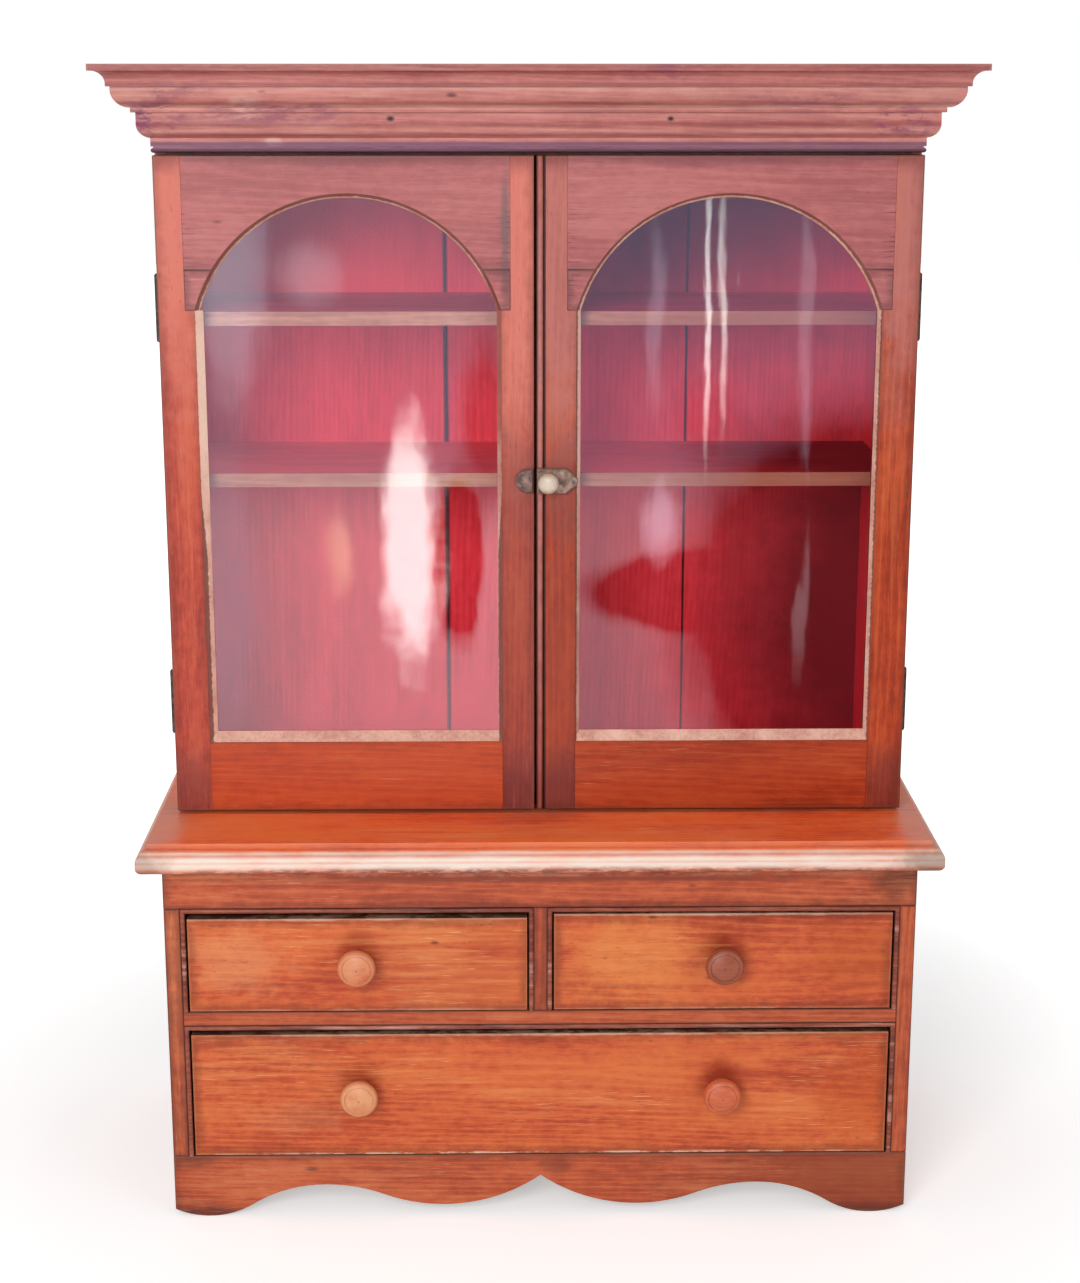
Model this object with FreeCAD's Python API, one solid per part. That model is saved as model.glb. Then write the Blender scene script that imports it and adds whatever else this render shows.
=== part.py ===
"""Step-back cupboard: two arched glass doors over a base with three drawers.

Sizes are in millimetres. +X points to the right of someone facing the doors, +Y to the back and +Z up.
The origin lies on the floor under the middle of the cupboard's bounding box.
"""

import FreeCAD
import Part
import math
import os

V = FreeCAD.Vector

# Base front, from the floor up
APRON_H = 80.0
LOWER_BAY_H = 170.5
MID_RAIL_T = 17.5
UPPER_BAY_H = 131.5
TOP_RAIL_H = 51.5

# Base carcass
BASE_W = 894.0
BASE_D = 385.0
BASE_SIDE_T = 19.0
FRAME_T = 20.0
RAIL_D = 60.0
RAIL_TENON_L = 8.0
RAIL_TENON_W = 30.0
RAIL_TENON_T = 8.0
MUNTIN_W = 16.0
BEAD_W = 6.0
BEAD_PROUD = 2.0

# Scalloped apron: a cusp in the middle, a lobe and an arch each side, and a rounded foot
APRON_CUSP_Z = 52.0
APRON_LOBE_Z = 13.5
APRON_LOBE_X = 118.0
APRON_ARCH_Z = 41.0
APRON_ARCH_IN = 183.5
APRON_FOOT_IN = 42.0
APRON_FOOT_R = 100.0

# Feet of the base sides
SIDE_FOOT_L = 75.0
SIDE_ARCH_H = 58.0

# Back boards
BACK_T = 12.0
BACK_RABBET_W = 10.0
BACK_LAP_W = 8.0
BACK_SEAM_GAP = 1.5
BASE_BACK_RISE = 62.0
BASE_BACK_SEAM_Z = 260.0
UPPER_SEAM_LEFT_X = -117.0
UPPER_SEAM_RIGHT_X = 191.0

# Drawers
DRAWER_FRONT_T = 19.0
DRAWER_SETBACK = 1.0
DRAWER_SIDE_GAP = 2.0
DRAWER_LIFT = 1.0
DRAWER_RUN_GAP = 0.3
LEFT_DRAWER_TOP_GAP = 7.5
RIGHT_DRAWER_TOP_GAP = 3.0
LONG_DRAWER_TOP_GAP = 6.5
DRAWER_SIDE_T = 12.0
DRAWER_SIDE_DROP = 2.0
DRAWER_BACK_T = 12.0
DRAWER_BACK_DROP = 8.0
DRAWER_BACK_IN = 8.0
DRAWER_BACK_HOUSING = 4.0
DRAWER_REAR_GAP = 15.0
DRAWER_BOTTOM_T = 8.0
DRAWER_BOTTOM_RISE = 10.0
DRAWER_GROOVE_D = 5.0
TAIL_L = 12.0
TAIL_NECK_W = 18.0
TAIL_PITCH = 38.0
TAIL_SLOPE = 0.17

# Turned drawer knobs
KNOB_R = 22.5
KNOB_PROJECTION = 37.0
KNOB_FOOT_R = 13.5
KNOB_FOOT_L = 3.0
KNOB_NECK_R = 10.5
KNOB_NECK_L = 9.0
KNOB_RIM_L = 26.0
KNOB_RING_R = 17.5
KNOB_RING_L = 35.0
KNOB_RING_STEP = 1.2
KNOB_FACE_R = 16.5
KNOB_TENON_R = 8.0
SMALL_KNOB_RISE = 66.0
LONG_KNOB_RISE = 87.0

# Battens that carry and steer the drawers
RUNNER_W = 34.0
CENTRE_RUNNER_W = 70.0
GUIDE_H = 20.0
KICKER_T = 18.0
STOP_H = 7.0
STOP_W = 40.0
STOP_D = 20.0
STOP_IN = 50.0
STOP_GAP = 0.3

# Waist board and its moulded edge
WAIST_T = 35.0
WAIST_OVERHANG = 27.0
WAIST_FILLET_IN = 13.0
WAIST_FILLET_H = 6.5
WAIST_QUIRK = 2.0
WAIST_THUMB_H = 17.0
WAIST_NOSE_IN = 5.5

# Upper case
CASE_INSET = 7.0
UPPER_D = 264.0
UPPER_H = 787.0
UPPER_SIDE_T = 18.0
UPPER_BOARD_T = 18.0
HOUSING_D = 6.0
SHELF_T = 16.5
SHELF_SET_BACK = 14.0
LOWER_SHELF_RISE = 412.5
UPPER_SHELF_RISE = 604.0

# Cornice members, from the bottom up: each is an outward step and a height
CORNICE_FOOT_W = 40.0
CORNICE_FOOT_H = 22.0
CORNICE_TOP_W = 38.0
BED_BEAD_H = 5.5
BED_BEAD_OUT = 2.5
BED_QUIRK_H = 1.5
BED_FASCIA_OUT = 1.0
BED_FASCIA_H = 9.5
LOWER_OVOLO_OUT = 13.5
LOWER_OVOLO_H = 17.5
FRIEZE_H = 11.0
FILLET_OUT = 5.0
FILLET_H = 5.5
UPPER_OVOLO_STEP = 3.5
UPPER_OVOLO_OUT = 15.0
UPPER_OVOLO_H = 23.0
CROWN_FILLET_OUT = 4.5
CROWN_FILLET_H = 4.5
COVE_OUT = 15.0
COVE_H = 12.5
CROWN_STEP = 2.0
CROWN_H = 7.5
BLOCK_SIZE = 20.0
BLOCK_L = 70.0
BLOCK_PITCH = 280.0

# Doors
DOOR_T = 20.0
HINGE_GAP = 1.0
DOOR_SILL_GAP = 3.5
DOOR_HEAD_GAP = 3.0
MEETING_X = -5.0
MEETING_GAP = 2.5
HINGE_STILE_W = 42.0
MEETING_STILE_W = 38.0
MEETING_BEAD_W = 9.0
MEETING_QUIRK_W = 2.0
DOOR_RAIL_H = 86.0
ARCH_SPRING = 605.0
ARCH_RISE = 133.0
EAR_H = 46.5
EAR_LAP = 11.0
RABBET_D = 11.5
LIP_W = 4.5
GLASS_T = 2.5
GLASS_GAP = 0.5
PUTTY_SET_IN = 1.5
PUTTY_W = 5.0
PUTTY_WIDE_W = 9.0
PUTTY_SILL_W = 12.0
RAIL_TENON_DEEP = 26.0
HEAD_TENON_DEEP = 18.0
DOOR_TENON_T = 7.0
TENON_SHOULDER = 14.0

# Butt hinges
HINGE_L = 76.0
HINGE_KNUCKLES = 5
HINGE_LEAF_T = 1.75
HINGE_LEAF_W = 16.0
HINGE_OUT = 2.5
KNUCKLE_R = 3.5
KNUCKLE_GAP = 0.3
KNUCKLE_RELIEF = 0.5
PIN_R = 1.75
PIN_CLEARANCE = 0.05
PIN_HEAD_R = 2.8
PIN_HEAD_H = 1.5
UPPER_HINGE_RISE = 606.5
LOWER_HINGE_RISE = 132.5

# Rim latch: a crank on the knob drives the bolt into the keeper
LATCH_RISE = 406.0
LATCH_L = 48.0
LATCH_H = 30.0
LATCH_T = 9.0
LATCH_EDGE_IN = 1.0
LATCH_WALL = 3.0
LATCH_END_WALL = 2.0
LATCH_TAPER_L = 14.0
LATCH_TIP_H = 12.0
LATCH_TIP_L = 3.0
LATCH_AXIS_IN = 13.0
CRANK_R = 7.0
CRANK_SWING_DEG = 40.0
CRANK_PIN_R = 1.5
CRANK_DISC_R = 8.8
CRANK_DISC_T = 1.5
SPINDLE_R = 4.0
SPINDLE_CLEARANCE = 0.05
BOLT_T = 3.6
BOLT_H = 22.0
BOLT_NOSE_H = 10.0
BOLT_NOSE_L = 11.0
BOLT_BODY_L = 18.0
LATCH_PLAY = 0.3
LATCH_COLLAR_R = 7.5
LATCH_COLLAR_T = 1.7
LATCH_NECK_R = 5.0
LATCH_NECK_L = 1.5
LATCH_BALL_R = 12.0
LATCH_EASE = 1.5
KEEPER_L = 21.0
KEEPER_H = 28.0
KEEPER_T = 7.0
KEEPER_POCKET = 10.0

# Levels
LOWER_BAY_TOP = APRON_H + LOWER_BAY_H
UPPER_BAY_Z = LOWER_BAY_TOP + MID_RAIL_T
UPPER_BAY_TOP = UPPER_BAY_Z + UPPER_BAY_H
BASE_H = UPPER_BAY_TOP + TOP_RAIL_H
WAIST_TOP = BASE_H + WAIST_T
UPPER_TOP = WAIST_TOP + UPPER_H
DOOR_Z = WAIST_TOP + DOOR_SILL_GAP
DOOR_TOP = UPPER_TOP - DOOR_HEAD_GAP
LATCH_Z = DOOR_Z + LATCH_RISE

# Planes from front to back; whatever stands out furthest in front sets the middle of the depth
FRONT_REACH = max(WAIST_OVERHANG, KNOB_PROJECTION - DRAWER_SETBACK)
BACK_Y = (BASE_D + FRONT_REACH) / 2
FACE_Y = BACK_Y - BASE_D
FRAME_BACK_Y = FACE_Y + FRAME_T
RAIL_BACK_Y = FACE_Y + RAIL_D
BACK_FACE_Y = BACK_Y - BACK_T
DRAWER_Y = FACE_Y + DRAWER_SETBACK
DRAWER_BACK_Y = DRAWER_Y + DRAWER_FRONT_T
CASE_Y = BACK_Y - UPPER_D
DOOR_BACK_Y = CASE_Y - HINGE_GAP
DOOR_Y = DOOR_BACK_Y - DOOR_T
RABBET_Y = DOOR_Y + RABBET_D
HINGE_Y = (DOOR_BACK_Y + CASE_Y) / 2

# Half widths
BASE_HALF = BASE_W / 2
BAY_HALF = BASE_HALF - BASE_SIDE_T
MUNTIN_HALF = MUNTIN_W / 2
CASE_HALF = BASE_HALF - CASE_INSET
CASE_IN = CASE_HALF - UPPER_SIDE_T
LEFT_MEET_X = MEETING_X - MEETING_GAP / 2
RIGHT_MEET_X = MEETING_X + MEETING_GAP / 2
HINGE_X = CASE_HALF + HINGE_OUT


def box(x0, x1, y0, y1, z0, z1):
    """A box between two corners."""
    return Part.makeBox(x1 - x0, y1 - y0, z1 - z0, V(x0, y0, z0))


def both_sides(shape):
    """The shape and its mirror image across the middle plane."""
    return [mirrored(shape), shape]


def mirrored(shape):
    """The shape reflected across the plane X = 0."""
    return shape.mirror(V(0, 0, 0), V(1, 0, 0))


def joined(shapes):
    """The shapes fused to one solid."""
    return shapes[0].fuse(shapes[1:]).removeSplitter()


def face(path, place):
    """A flat face round a closed path of 2-D points; an item of two points is an arc by the first to the second."""
    edges = []
    here = path[0]
    for item in path[1:] + path[:1]:
        arc = isinstance(item[0], tuple)
        there = item[1] if arc else item
        if arc:
            edges.append(Part.Arc(place(*here), place(*item[0]), place(*there)).toShape())
        elif there != here:
            edges.append(Part.makeLine(place(*here), place(*there)))
        here = there
    return Part.Face(Part.Wire(edges))


def along_x(path, x0, x1):
    """A path in Y and Z drawn out along X."""
    return face(path, lambda y, z: V(x0, y, z)).extrude(V(x1 - x0, 0, 0))


def along_y(path, y0, y1):
    """A path in X and Z drawn out along Y."""
    return face(path, lambda x, z: V(x, y0, z)).extrude(V(0, y1 - y0, 0))


def along_z(path, z0, z1):
    """A path in X and Y drawn out along Z."""
    return face(path, lambda x, y: V(x, y, z0)).extrude(V(0, 0, z1 - z0))


def turned(path, x, y, z):
    """A path of radius and distance in front of (x, y, z), turned round the line that runs to the front."""
    profile = face(path, lambda r, d: V(x + r, y - d, z))
    return profile.revolve(V(x, y, z), V(0, -1, 0), 360)


def pegs(radius, x, z, y0, y1):
    """A round peg along Y."""
    return Part.makeCylinder(radius, y1 - y0, V(x, y0, z), V(0, 1, 0))


def circle_point(centre, radius, a, b):
    """The point of a circle halfway round from a to b."""
    dx = (a[0] + b[0]) / 2 - centre[0]
    dz = (a[1] + b[1]) / 2 - centre[1]
    scale = radius / math.hypot(dx, dz)
    return (centre[0] + dx * scale, centre[1] + dz * scale)


def tangent_point(centre, radius, other):
    """Where a circle touches the next one, whose centre is other."""
    dx = other[0] - centre[0]
    dz = other[1] - centre[1]
    scale = radius / math.hypot(dx, dz)
    return (centre[0] + dx * scale, centre[1] + dz * scale)


def sweep_radius(run, rise):
    """The sum of the radii of two arcs that meet smoothly over a run and a rise; for one arc, its radius."""
    return (run ** 2 + rise ** 2) / (2 * rise)


# Base carcass


def base_side():
    """Right side board: rabbeted at the back, housed for the rails, and cut away between its feet."""
    board = box(BAY_HALF, BASE_HALF, FRAME_BACK_Y, BACK_Y, 0, BASE_H)
    foot_front = FRAME_BACK_Y + SIDE_FOOT_L
    foot_back = BACK_Y - SIDE_FOOT_L
    middle = (foot_front + foot_back) / 2
    arch = [(foot_front, 0.0), ((middle, SIDE_ARCH_H), (foot_back, 0.0))]
    cuts = [along_x(arch, BAY_HALF, BASE_HALF)]
    cuts.append(box(BAY_HALF, BAY_HALF + BACK_RABBET_W, BACK_FACE_Y, BACK_Y, BASE_BACK_RISE, BASE_H))
    cuts += [rail_tenon(LOWER_BAY_TOP), rail_tenon(APRON_H - MID_RAIL_T)]
    return board.cut(cuts)


def rail_tenon(z):
    """The tenon at the right end of a drawer rail whose underside is at z."""
    y0 = FRAME_BACK_Y + (RAIL_BACK_Y - FRAME_BACK_Y - RAIL_TENON_W) / 2
    z0 = z + (MID_RAIL_T - RAIL_TENON_T) / 2
    return box(BAY_HALF, BAY_HALF + RAIL_TENON_L, y0, y0 + RAIL_TENON_W, z0, z0 + RAIL_TENON_T)


def drawer_rail(z, y0):
    """A rail between the base sides, tenoned into them."""
    body = box(-BAY_HALF, BAY_HALF, y0, RAIL_BACK_Y, z, z + MID_RAIL_T)
    return joined([body] + both_sides(rail_tenon(z)))


def apron_edge():
    """Right half of the apron's scalloped lower edge, from the outer corner to the cusp, in smooth arcs."""
    foot = (BASE_HALF - APRON_FOOT_IN, APRON_FOOT_R)
    arch_x = BASE_HALF - APRON_ARCH_IN
    apex = (arch_x, APRON_ARCH_Z)
    cusp = (0.0, APRON_CUSP_Z)
    lobe_r = sweep_radius(APRON_LOBE_X, APRON_CUSP_Z - APRON_LOBE_Z)
    lobe = (APRON_LOBE_X, APRON_LOBE_Z + lobe_r)
    outer_r = sweep_radius(foot[0] - arch_x, APRON_ARCH_Z) - APRON_FOOT_R
    outer = (arch_x, APRON_ARCH_Z - outer_r)
    inner_r = sweep_radius(arch_x - APRON_LOBE_X, APRON_ARCH_Z - APRON_LOBE_Z) - lobe_r
    inner = (arch_x, APRON_ARCH_Z - inner_r)
    corner = (BASE_HALF, APRON_FOOT_R - math.sqrt(APRON_FOOT_R ** 2 - APRON_FOOT_IN ** 2))
    foot_end = tangent_point(foot, APRON_FOOT_R, outer)
    lobe_end = tangent_point(lobe, lobe_r, inner)
    return [
        corner,
        ((foot[0], 0.0), foot_end),
        (circle_point(outer, outer_r, foot_end, apex), apex),
        (circle_point(inner, inner_r, apex, lobe_end), lobe_end),
        ((APRON_LOBE_X, APRON_LOBE_Z), cusp),
    ]


def base_apron():
    """Apron across the full width, scalloped along its lower edge."""
    edge = apron_edge()
    path = [(0.0, APRON_H), (BASE_HALF, APRON_H)] + edge
    half = along_y(path, FACE_Y, FRAME_BACK_Y)
    return joined(both_sides(half))


def bead_strips(x0, x1, z0, z1):
    """Three cock beads mitred round the top and sides of a bay, each with a rounded nose."""
    nose = BEAD_W / 2
    front = FACE_Y - BEAD_PROUD
    upright = []
    for edge, inner in ((x0, x0 + BEAD_W), (x1, x1 - BEAD_W)):
        middle = (edge + inner) / 2
        section = [(edge, FRAME_BACK_Y), (edge, front + nose), ((middle, front), (inner, front + nose)),
                   (inner, FRAME_BACK_Y)]
        shape = [(edge, z0), (inner, z0), (inner, z1 - BEAD_W), (edge, z1)]
        upright.append(along_z(section, z0, z1).common(along_y(shape, front, FRAME_BACK_Y)))
    low = z1 - BEAD_W
    section = [(FRAME_BACK_Y, z1), (front + nose, z1), ((front, z1 - nose), (front + nose, low)), (FRAME_BACK_Y, low)]
    shape = [(x0, z1), (x1, z1), (x1 - BEAD_W, low), (x0 + BEAD_W, low)]
    return upright + [along_x(section, x0, x1).common(along_y(shape, front, FRAME_BACK_Y))]


def drawer_beads():
    """The beads of all three bays."""
    strips = bead_strips(-BAY_HALF, BAY_HALF, APRON_H, LOWER_BAY_TOP)
    strips += bead_strips(-BAY_HALF, -MUNTIN_HALF, UPPER_BAY_Z, UPPER_BAY_TOP)
    strips += bead_strips(MUNTIN_HALF, BAY_HALF, UPPER_BAY_Z, UPPER_BAY_TOP)
    return Part.makeCompound(strips)


def drawer_runners():
    """Runners behind both drawer rails: a pair under each tier and a wide one under the muntin."""
    outer = BAY_HALF - RUNNER_W
    runners = both_sides(box(outer, BAY_HALF, RAIL_BACK_Y, BACK_FACE_Y, LOWER_BAY_TOP, UPPER_BAY_Z))
    runners += both_sides(box(outer, BAY_HALF, RAIL_BACK_Y, BACK_FACE_Y, APRON_H - MID_RAIL_T, APRON_H))
    half = CENTRE_RUNNER_W / 2
    runners.append(box(-half, half, RAIL_BACK_Y, BACK_FACE_Y, LOWER_BAY_TOP, UPPER_BAY_Z))
    return Part.makeCompound(runners)


def drawer_guides():
    """Strips that steer the drawers sideways, and kickers that keep them from tipping."""
    inner = BAY_HALF - BEAD_W
    strips = []
    for z in (APRON_H, UPPER_BAY_Z):
        strips += both_sides(box(inner, BAY_HALF, RAIL_BACK_Y, BACK_FACE_Y, z, z + GUIDE_H))
    half = MUNTIN_HALF + BEAD_W
    strips.append(box(-half, half, RAIL_BACK_Y, BACK_FACE_Y, UPPER_BAY_Z, UPPER_BAY_Z + GUIDE_H))
    low = UPPER_BAY_TOP - BEAD_W
    strips += both_sides(box(BAY_HALF - RUNNER_W, BAY_HALF, FRAME_BACK_Y, BACK_FACE_Y, low, low + KICKER_T))
    half = CENTRE_RUNNER_W / 2
    strips.append(box(-half, half, FRAME_BACK_Y, BACK_FACE_Y, low, low + KICKER_T))
    return Part.makeCompound(strips)


def drawer_stops():
    """Two blocks on the rail under each drawer, just behind its front."""
    blocks = []
    y0 = DRAWER_BACK_Y + STOP_GAP
    for x0, x1, z in drawer_bays():
        for x in (x0 + STOP_IN, x1 - STOP_IN - STOP_W):
            blocks.append(box(x, x + STOP_W, y0, y0 + STOP_D, z, z + STOP_H))
    return Part.makeCompound(blocks)


def drawer_bays():
    """The clear span of each drawer opening, inside its beads, and the level of its rail."""
    outer = BAY_HALF - BEAD_W
    inner = MUNTIN_HALF + BEAD_W
    return [(-outer, -inner, UPPER_BAY_Z), (inner, outer, UPPER_BAY_Z), (-outer, outer, APRON_H)]


def base_back_boards():
    """Two boards across the back of the base, lapped where they meet."""
    half = BAY_HALF + BACK_RABBET_W
    middle_y = BACK_Y - BACK_T / 2
    low = [(BACK_FACE_Y, BASE_BACK_RISE), (BACK_Y, BASE_BACK_RISE), (BACK_Y, BASE_BACK_SEAM_Z + BACK_LAP_W),
           (middle_y, BASE_BACK_SEAM_Z + BACK_LAP_W), (middle_y, BASE_BACK_SEAM_Z), (BACK_FACE_Y, BASE_BACK_SEAM_Z)]
    seam = BASE_BACK_SEAM_Z + BACK_SEAM_GAP
    high = [(BACK_FACE_Y, BASE_H), (BACK_FACE_Y, seam), (middle_y, seam), (middle_y, BASE_BACK_SEAM_Z + BACK_LAP_W),
            (BACK_Y, BASE_BACK_SEAM_Z + BACK_LAP_W), (BACK_Y, BASE_H)]
    return Part.makeCompound([along_x(low, -half, half), along_x(high, -half, half)])


def waist_edge(reach):
    """The waist board's moulded edge from the top down, as distances from the plane that it overhangs by reach."""
    top = reach - WAIST_FILLET_IN
    thumb = top + WAIST_QUIRK
    shoulder = WAIST_TOP - WAIST_FILLET_H
    nose = shoulder - WAIST_THUMB_H
    run = reach - thumb
    bulge = (thumb + run * math.sin(math.pi / 4), nose + WAIST_THUMB_H * math.cos(math.pi / 4))
    under = (reach - WAIST_NOSE_IN * (1 - math.cos(math.pi / 4)), BASE_H + (nose - BASE_H) * (1 - math.sin(math.pi / 4)))
    return [(top, WAIST_TOP), (top, shoulder), (thumb, shoulder), (bulge, (reach, nose)),
            (under, (reach - WAIST_NOSE_IN, BASE_H))]


def reflected(path):
    """A path mirrored to negative distances, from its last point to its first."""
    flip = lambda p: (-p[0], p[1])
    ends = [item[1] if isinstance(item[0], tuple) else item for item in path]
    back = [flip(ends[-1])]
    for item, start in zip(path[:0:-1], ends[-2::-1]):
        back.append((flip(item[0]), flip(start)) if isinstance(item[0], tuple) else flip(start))
    return back


def waist_board():
    """Waist board, moulded along its front and both ends and square at the back."""
    ends = waist_edge(BASE_HALF + WAIST_OVERHANG)
    across = along_y(ends + reflected(ends), FACE_Y - WAIST_OVERHANG, BACK_Y)
    front = reflected(waist_edge(WAIST_OVERHANG - FACE_Y))
    reach = BASE_HALF + WAIST_OVERHANG
    return across.common(along_x([(BACK_Y, WAIST_TOP), (BACK_Y, BASE_H)] + front, -reach, reach))


# Drawers


class Drawer:
    """One drawer in its bay: a front, two dovetailed sides, a back, a bottom board and its knobs."""

    def __init__(self, bay, bay_top, top_gap, knob_xs, knob_rise):
        self.x0 = bay[0] + DRAWER_SIDE_GAP
        self.x1 = bay[1] - DRAWER_SIDE_GAP
        self.rail_z = bay[2]
        self.z0 = bay[2] + DRAWER_LIFT
        self.z1 = bay_top - BEAD_W - top_gap
        self.side_top = self.z1 - DRAWER_SIDE_DROP
        self.knob_xs = knob_xs
        self.knob_z = bay[2] + knob_rise
        self.rear_y = BACK_FACE_Y - DRAWER_REAR_GAP
        self.left_tails = self.tails_at(self.x0, self.x0 + DRAWER_SIDE_T)
        self.right_tails = self.tails_at(self.x1 - DRAWER_SIDE_T, self.x1)

    def tails_at(self, x0, x1):
        """Dovetails between x0 and x1 that lock a side into the back of the front."""
        count = int((self.side_top - self.z0) // TAIL_PITCH)
        step = (self.side_top - self.z0) / count
        neck = TAIL_NECK_W / 2
        wide = neck + TAIL_L * TAIL_SLOPE
        tip = DRAWER_BACK_Y - TAIL_L
        shapes = []
        for i in range(count):
            z = self.z0 + step * (i + 0.5)
            path = [(DRAWER_BACK_Y, z - neck), (tip, z - wide), (tip, z + wide), (DRAWER_BACK_Y, z + neck)]
            shapes.append(along_x(path, x0, x1))
        return shapes

    def bottom(self):
        """Bottom board, held in grooves in the front and the sides."""
        inset = DRAWER_SIDE_T - DRAWER_GROOVE_D
        z0 = self.rail_z + DRAWER_BOTTOM_RISE
        return box(self.x0 + inset, self.x1 - inset, DRAWER_BACK_Y - DRAWER_GROOVE_D, self.rear_y,
                   z0, z0 + DRAWER_BOTTOM_T)

    def back(self):
        """Back board above the bottom, housed in the sides."""
        inset = DRAWER_SIDE_T - DRAWER_BACK_HOUSING
        y1 = self.rear_y - DRAWER_BACK_IN
        z0 = self.rail_z + DRAWER_BOTTOM_RISE + DRAWER_BOTTOM_T
        return box(self.x0 + inset, self.x1 - inset, y1 - DRAWER_BACK_T, y1, z0, self.side_top - DRAWER_BACK_DROP)

    def side(self, x0, x1, joint):
        """One side with its dovetails, grooved for the bottom and housed for the back."""
        z0 = self.rail_z + DRAWER_RUN_GAP
        board = box(x0, x1, DRAWER_BACK_Y, self.rear_y, z0, self.side_top)
        groove = self.bottom()
        front = DRAWER_BACK_Y - TAIL_L
        bounds = groove.BoundBox
        slot = box(bounds.XMin, bounds.XMax, front, self.rear_y, bounds.ZMin, bounds.ZMax)
        return joined([board] + joint).cut([slot, self.back()])

    def carcass(self):
        """Both sides and the back."""
        left = self.side(self.x0, self.x0 + DRAWER_SIDE_T, self.left_tails)
        right = self.side(self.x1 - DRAWER_SIDE_T, self.x1, self.right_tails)
        return Part.makeCompound([left, right, self.back()])

    def front(self):
        """Front board, socketed for the dovetails, grooved for the bottom and bored for the knobs."""
        board = box(self.x0, self.x1, DRAWER_Y, DRAWER_BACK_Y, self.z0, self.z1)
        bores = [pegs(KNOB_TENON_R, x, self.knob_z, DRAWER_Y, DRAWER_BACK_Y) for x in self.knob_xs]
        return board.cut(self.left_tails + self.right_tails + [self.bottom()] + bores)

    def knobs(self):
        """Turned knobs: a tenon through the front, a waisted neck, and a head with a raised ring and a dished face."""
        corner = math.sqrt(0.5)
        shoulder_r = KNOB_RING_R + (KNOB_R - KNOB_RING_R) * corner
        shoulder_l = KNOB_RIM_L + (KNOB_RING_L - KNOB_RIM_L) * corner
        face_l = KNOB_RING_L - KNOB_RING_STEP
        dome_r = sweep_radius(KNOB_FACE_R, KNOB_PROJECTION - face_l)
        dome_l = KNOB_PROJECTION - dome_r
        spread = math.asin(KNOB_FACE_R / dome_r)
        path = [
            (0.0, -DRAWER_FRONT_T),
            (KNOB_TENON_R, -DRAWER_FRONT_T),
            (KNOB_TENON_R, 0.0),
            (KNOB_FOOT_R, 0.0),
            (KNOB_FOOT_R, KNOB_FOOT_L),
            ((KNOB_NECK_R, KNOB_NECK_L), (KNOB_R, KNOB_RIM_L)),
            ((shoulder_r, shoulder_l), (KNOB_RING_R, KNOB_RING_L)),
            (KNOB_FACE_R, face_l),
            ((dome_r * math.sin(spread / 2), dome_l + dome_r * math.cos(spread / 2)), (0.0, KNOB_PROJECTION)),
        ]
        return Part.makeCompound([turned(path, x, DRAWER_Y, self.knob_z) for x in self.knob_xs])


def drawer_nodes():
    """The three drawers' pieces by node name."""
    left_bay, right_bay, long_bay = drawer_bays()
    left_x = (left_bay[0] + left_bay[1]) / 2
    right_x = (right_bay[0] + right_bay[1]) / 2
    drawers = {
        "left_drawer": Drawer(left_bay, UPPER_BAY_TOP, LEFT_DRAWER_TOP_GAP, [left_x], SMALL_KNOB_RISE),
        "right_drawer": Drawer(right_bay, UPPER_BAY_TOP, RIGHT_DRAWER_TOP_GAP, [right_x], SMALL_KNOB_RISE),
        "long_drawer": Drawer(long_bay, LOWER_BAY_TOP, LONG_DRAWER_TOP_GAP, [left_x, right_x], LONG_KNOB_RISE),
    }
    nodes = {}
    for name, drawer in drawers.items():
        nodes[name + "_front"] = drawer.front()
        nodes[name + "_box"] = drawer.carcass()
        nodes[name + "_bottom"] = drawer.bottom()
        nodes[name + "_knob"] = drawer.knobs()
    return nodes


# Upper case


def shelf(rise):
    """A shelf whose top is at the given rise, running into housings in both sides."""
    top = WAIST_TOP + rise
    half = CASE_IN + HOUSING_D
    return box(-half, half, CASE_Y + SHELF_SET_BACK, BACK_FACE_Y, top - SHELF_T, top)


def upper_board(z):
    """The bottom or top board of the upper case."""
    half = CASE_IN + HOUSING_D
    return box(-half, half, CASE_Y, BACK_FACE_Y, z, z + UPPER_BOARD_T)


def upper_boards():
    """Bottom board, top board and both shelves by node name."""
    return {
        "upper_bottom_board": upper_board(WAIST_TOP),
        "upper_top_board": upper_board(UPPER_TOP - UPPER_BOARD_T),
        "shelf_lower": shelf(LOWER_SHELF_RISE),
        "shelf_upper": shelf(UPPER_SHELF_RISE),
    }


def upper_side():
    """Right side of the upper case: rabbeted at the back, housed for its boards, and let in for the hinges."""
    board = box(CASE_IN, CASE_HALF, CASE_Y, BACK_Y, WAIST_TOP, UPPER_TOP)
    cuts = [box(CASE_IN, CASE_IN + BACK_RABBET_W, BACK_FACE_Y, BACK_Y, WAIST_TOP, UPPER_TOP)]
    cuts += list(upper_boards().values())
    for z in hinge_levels():
        cuts += [leaf_mortise(z, CASE_Y, CASE_Y + HINGE_LEAF_T), knuckle_relief(z)]
    return board.cut(cuts)


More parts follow.
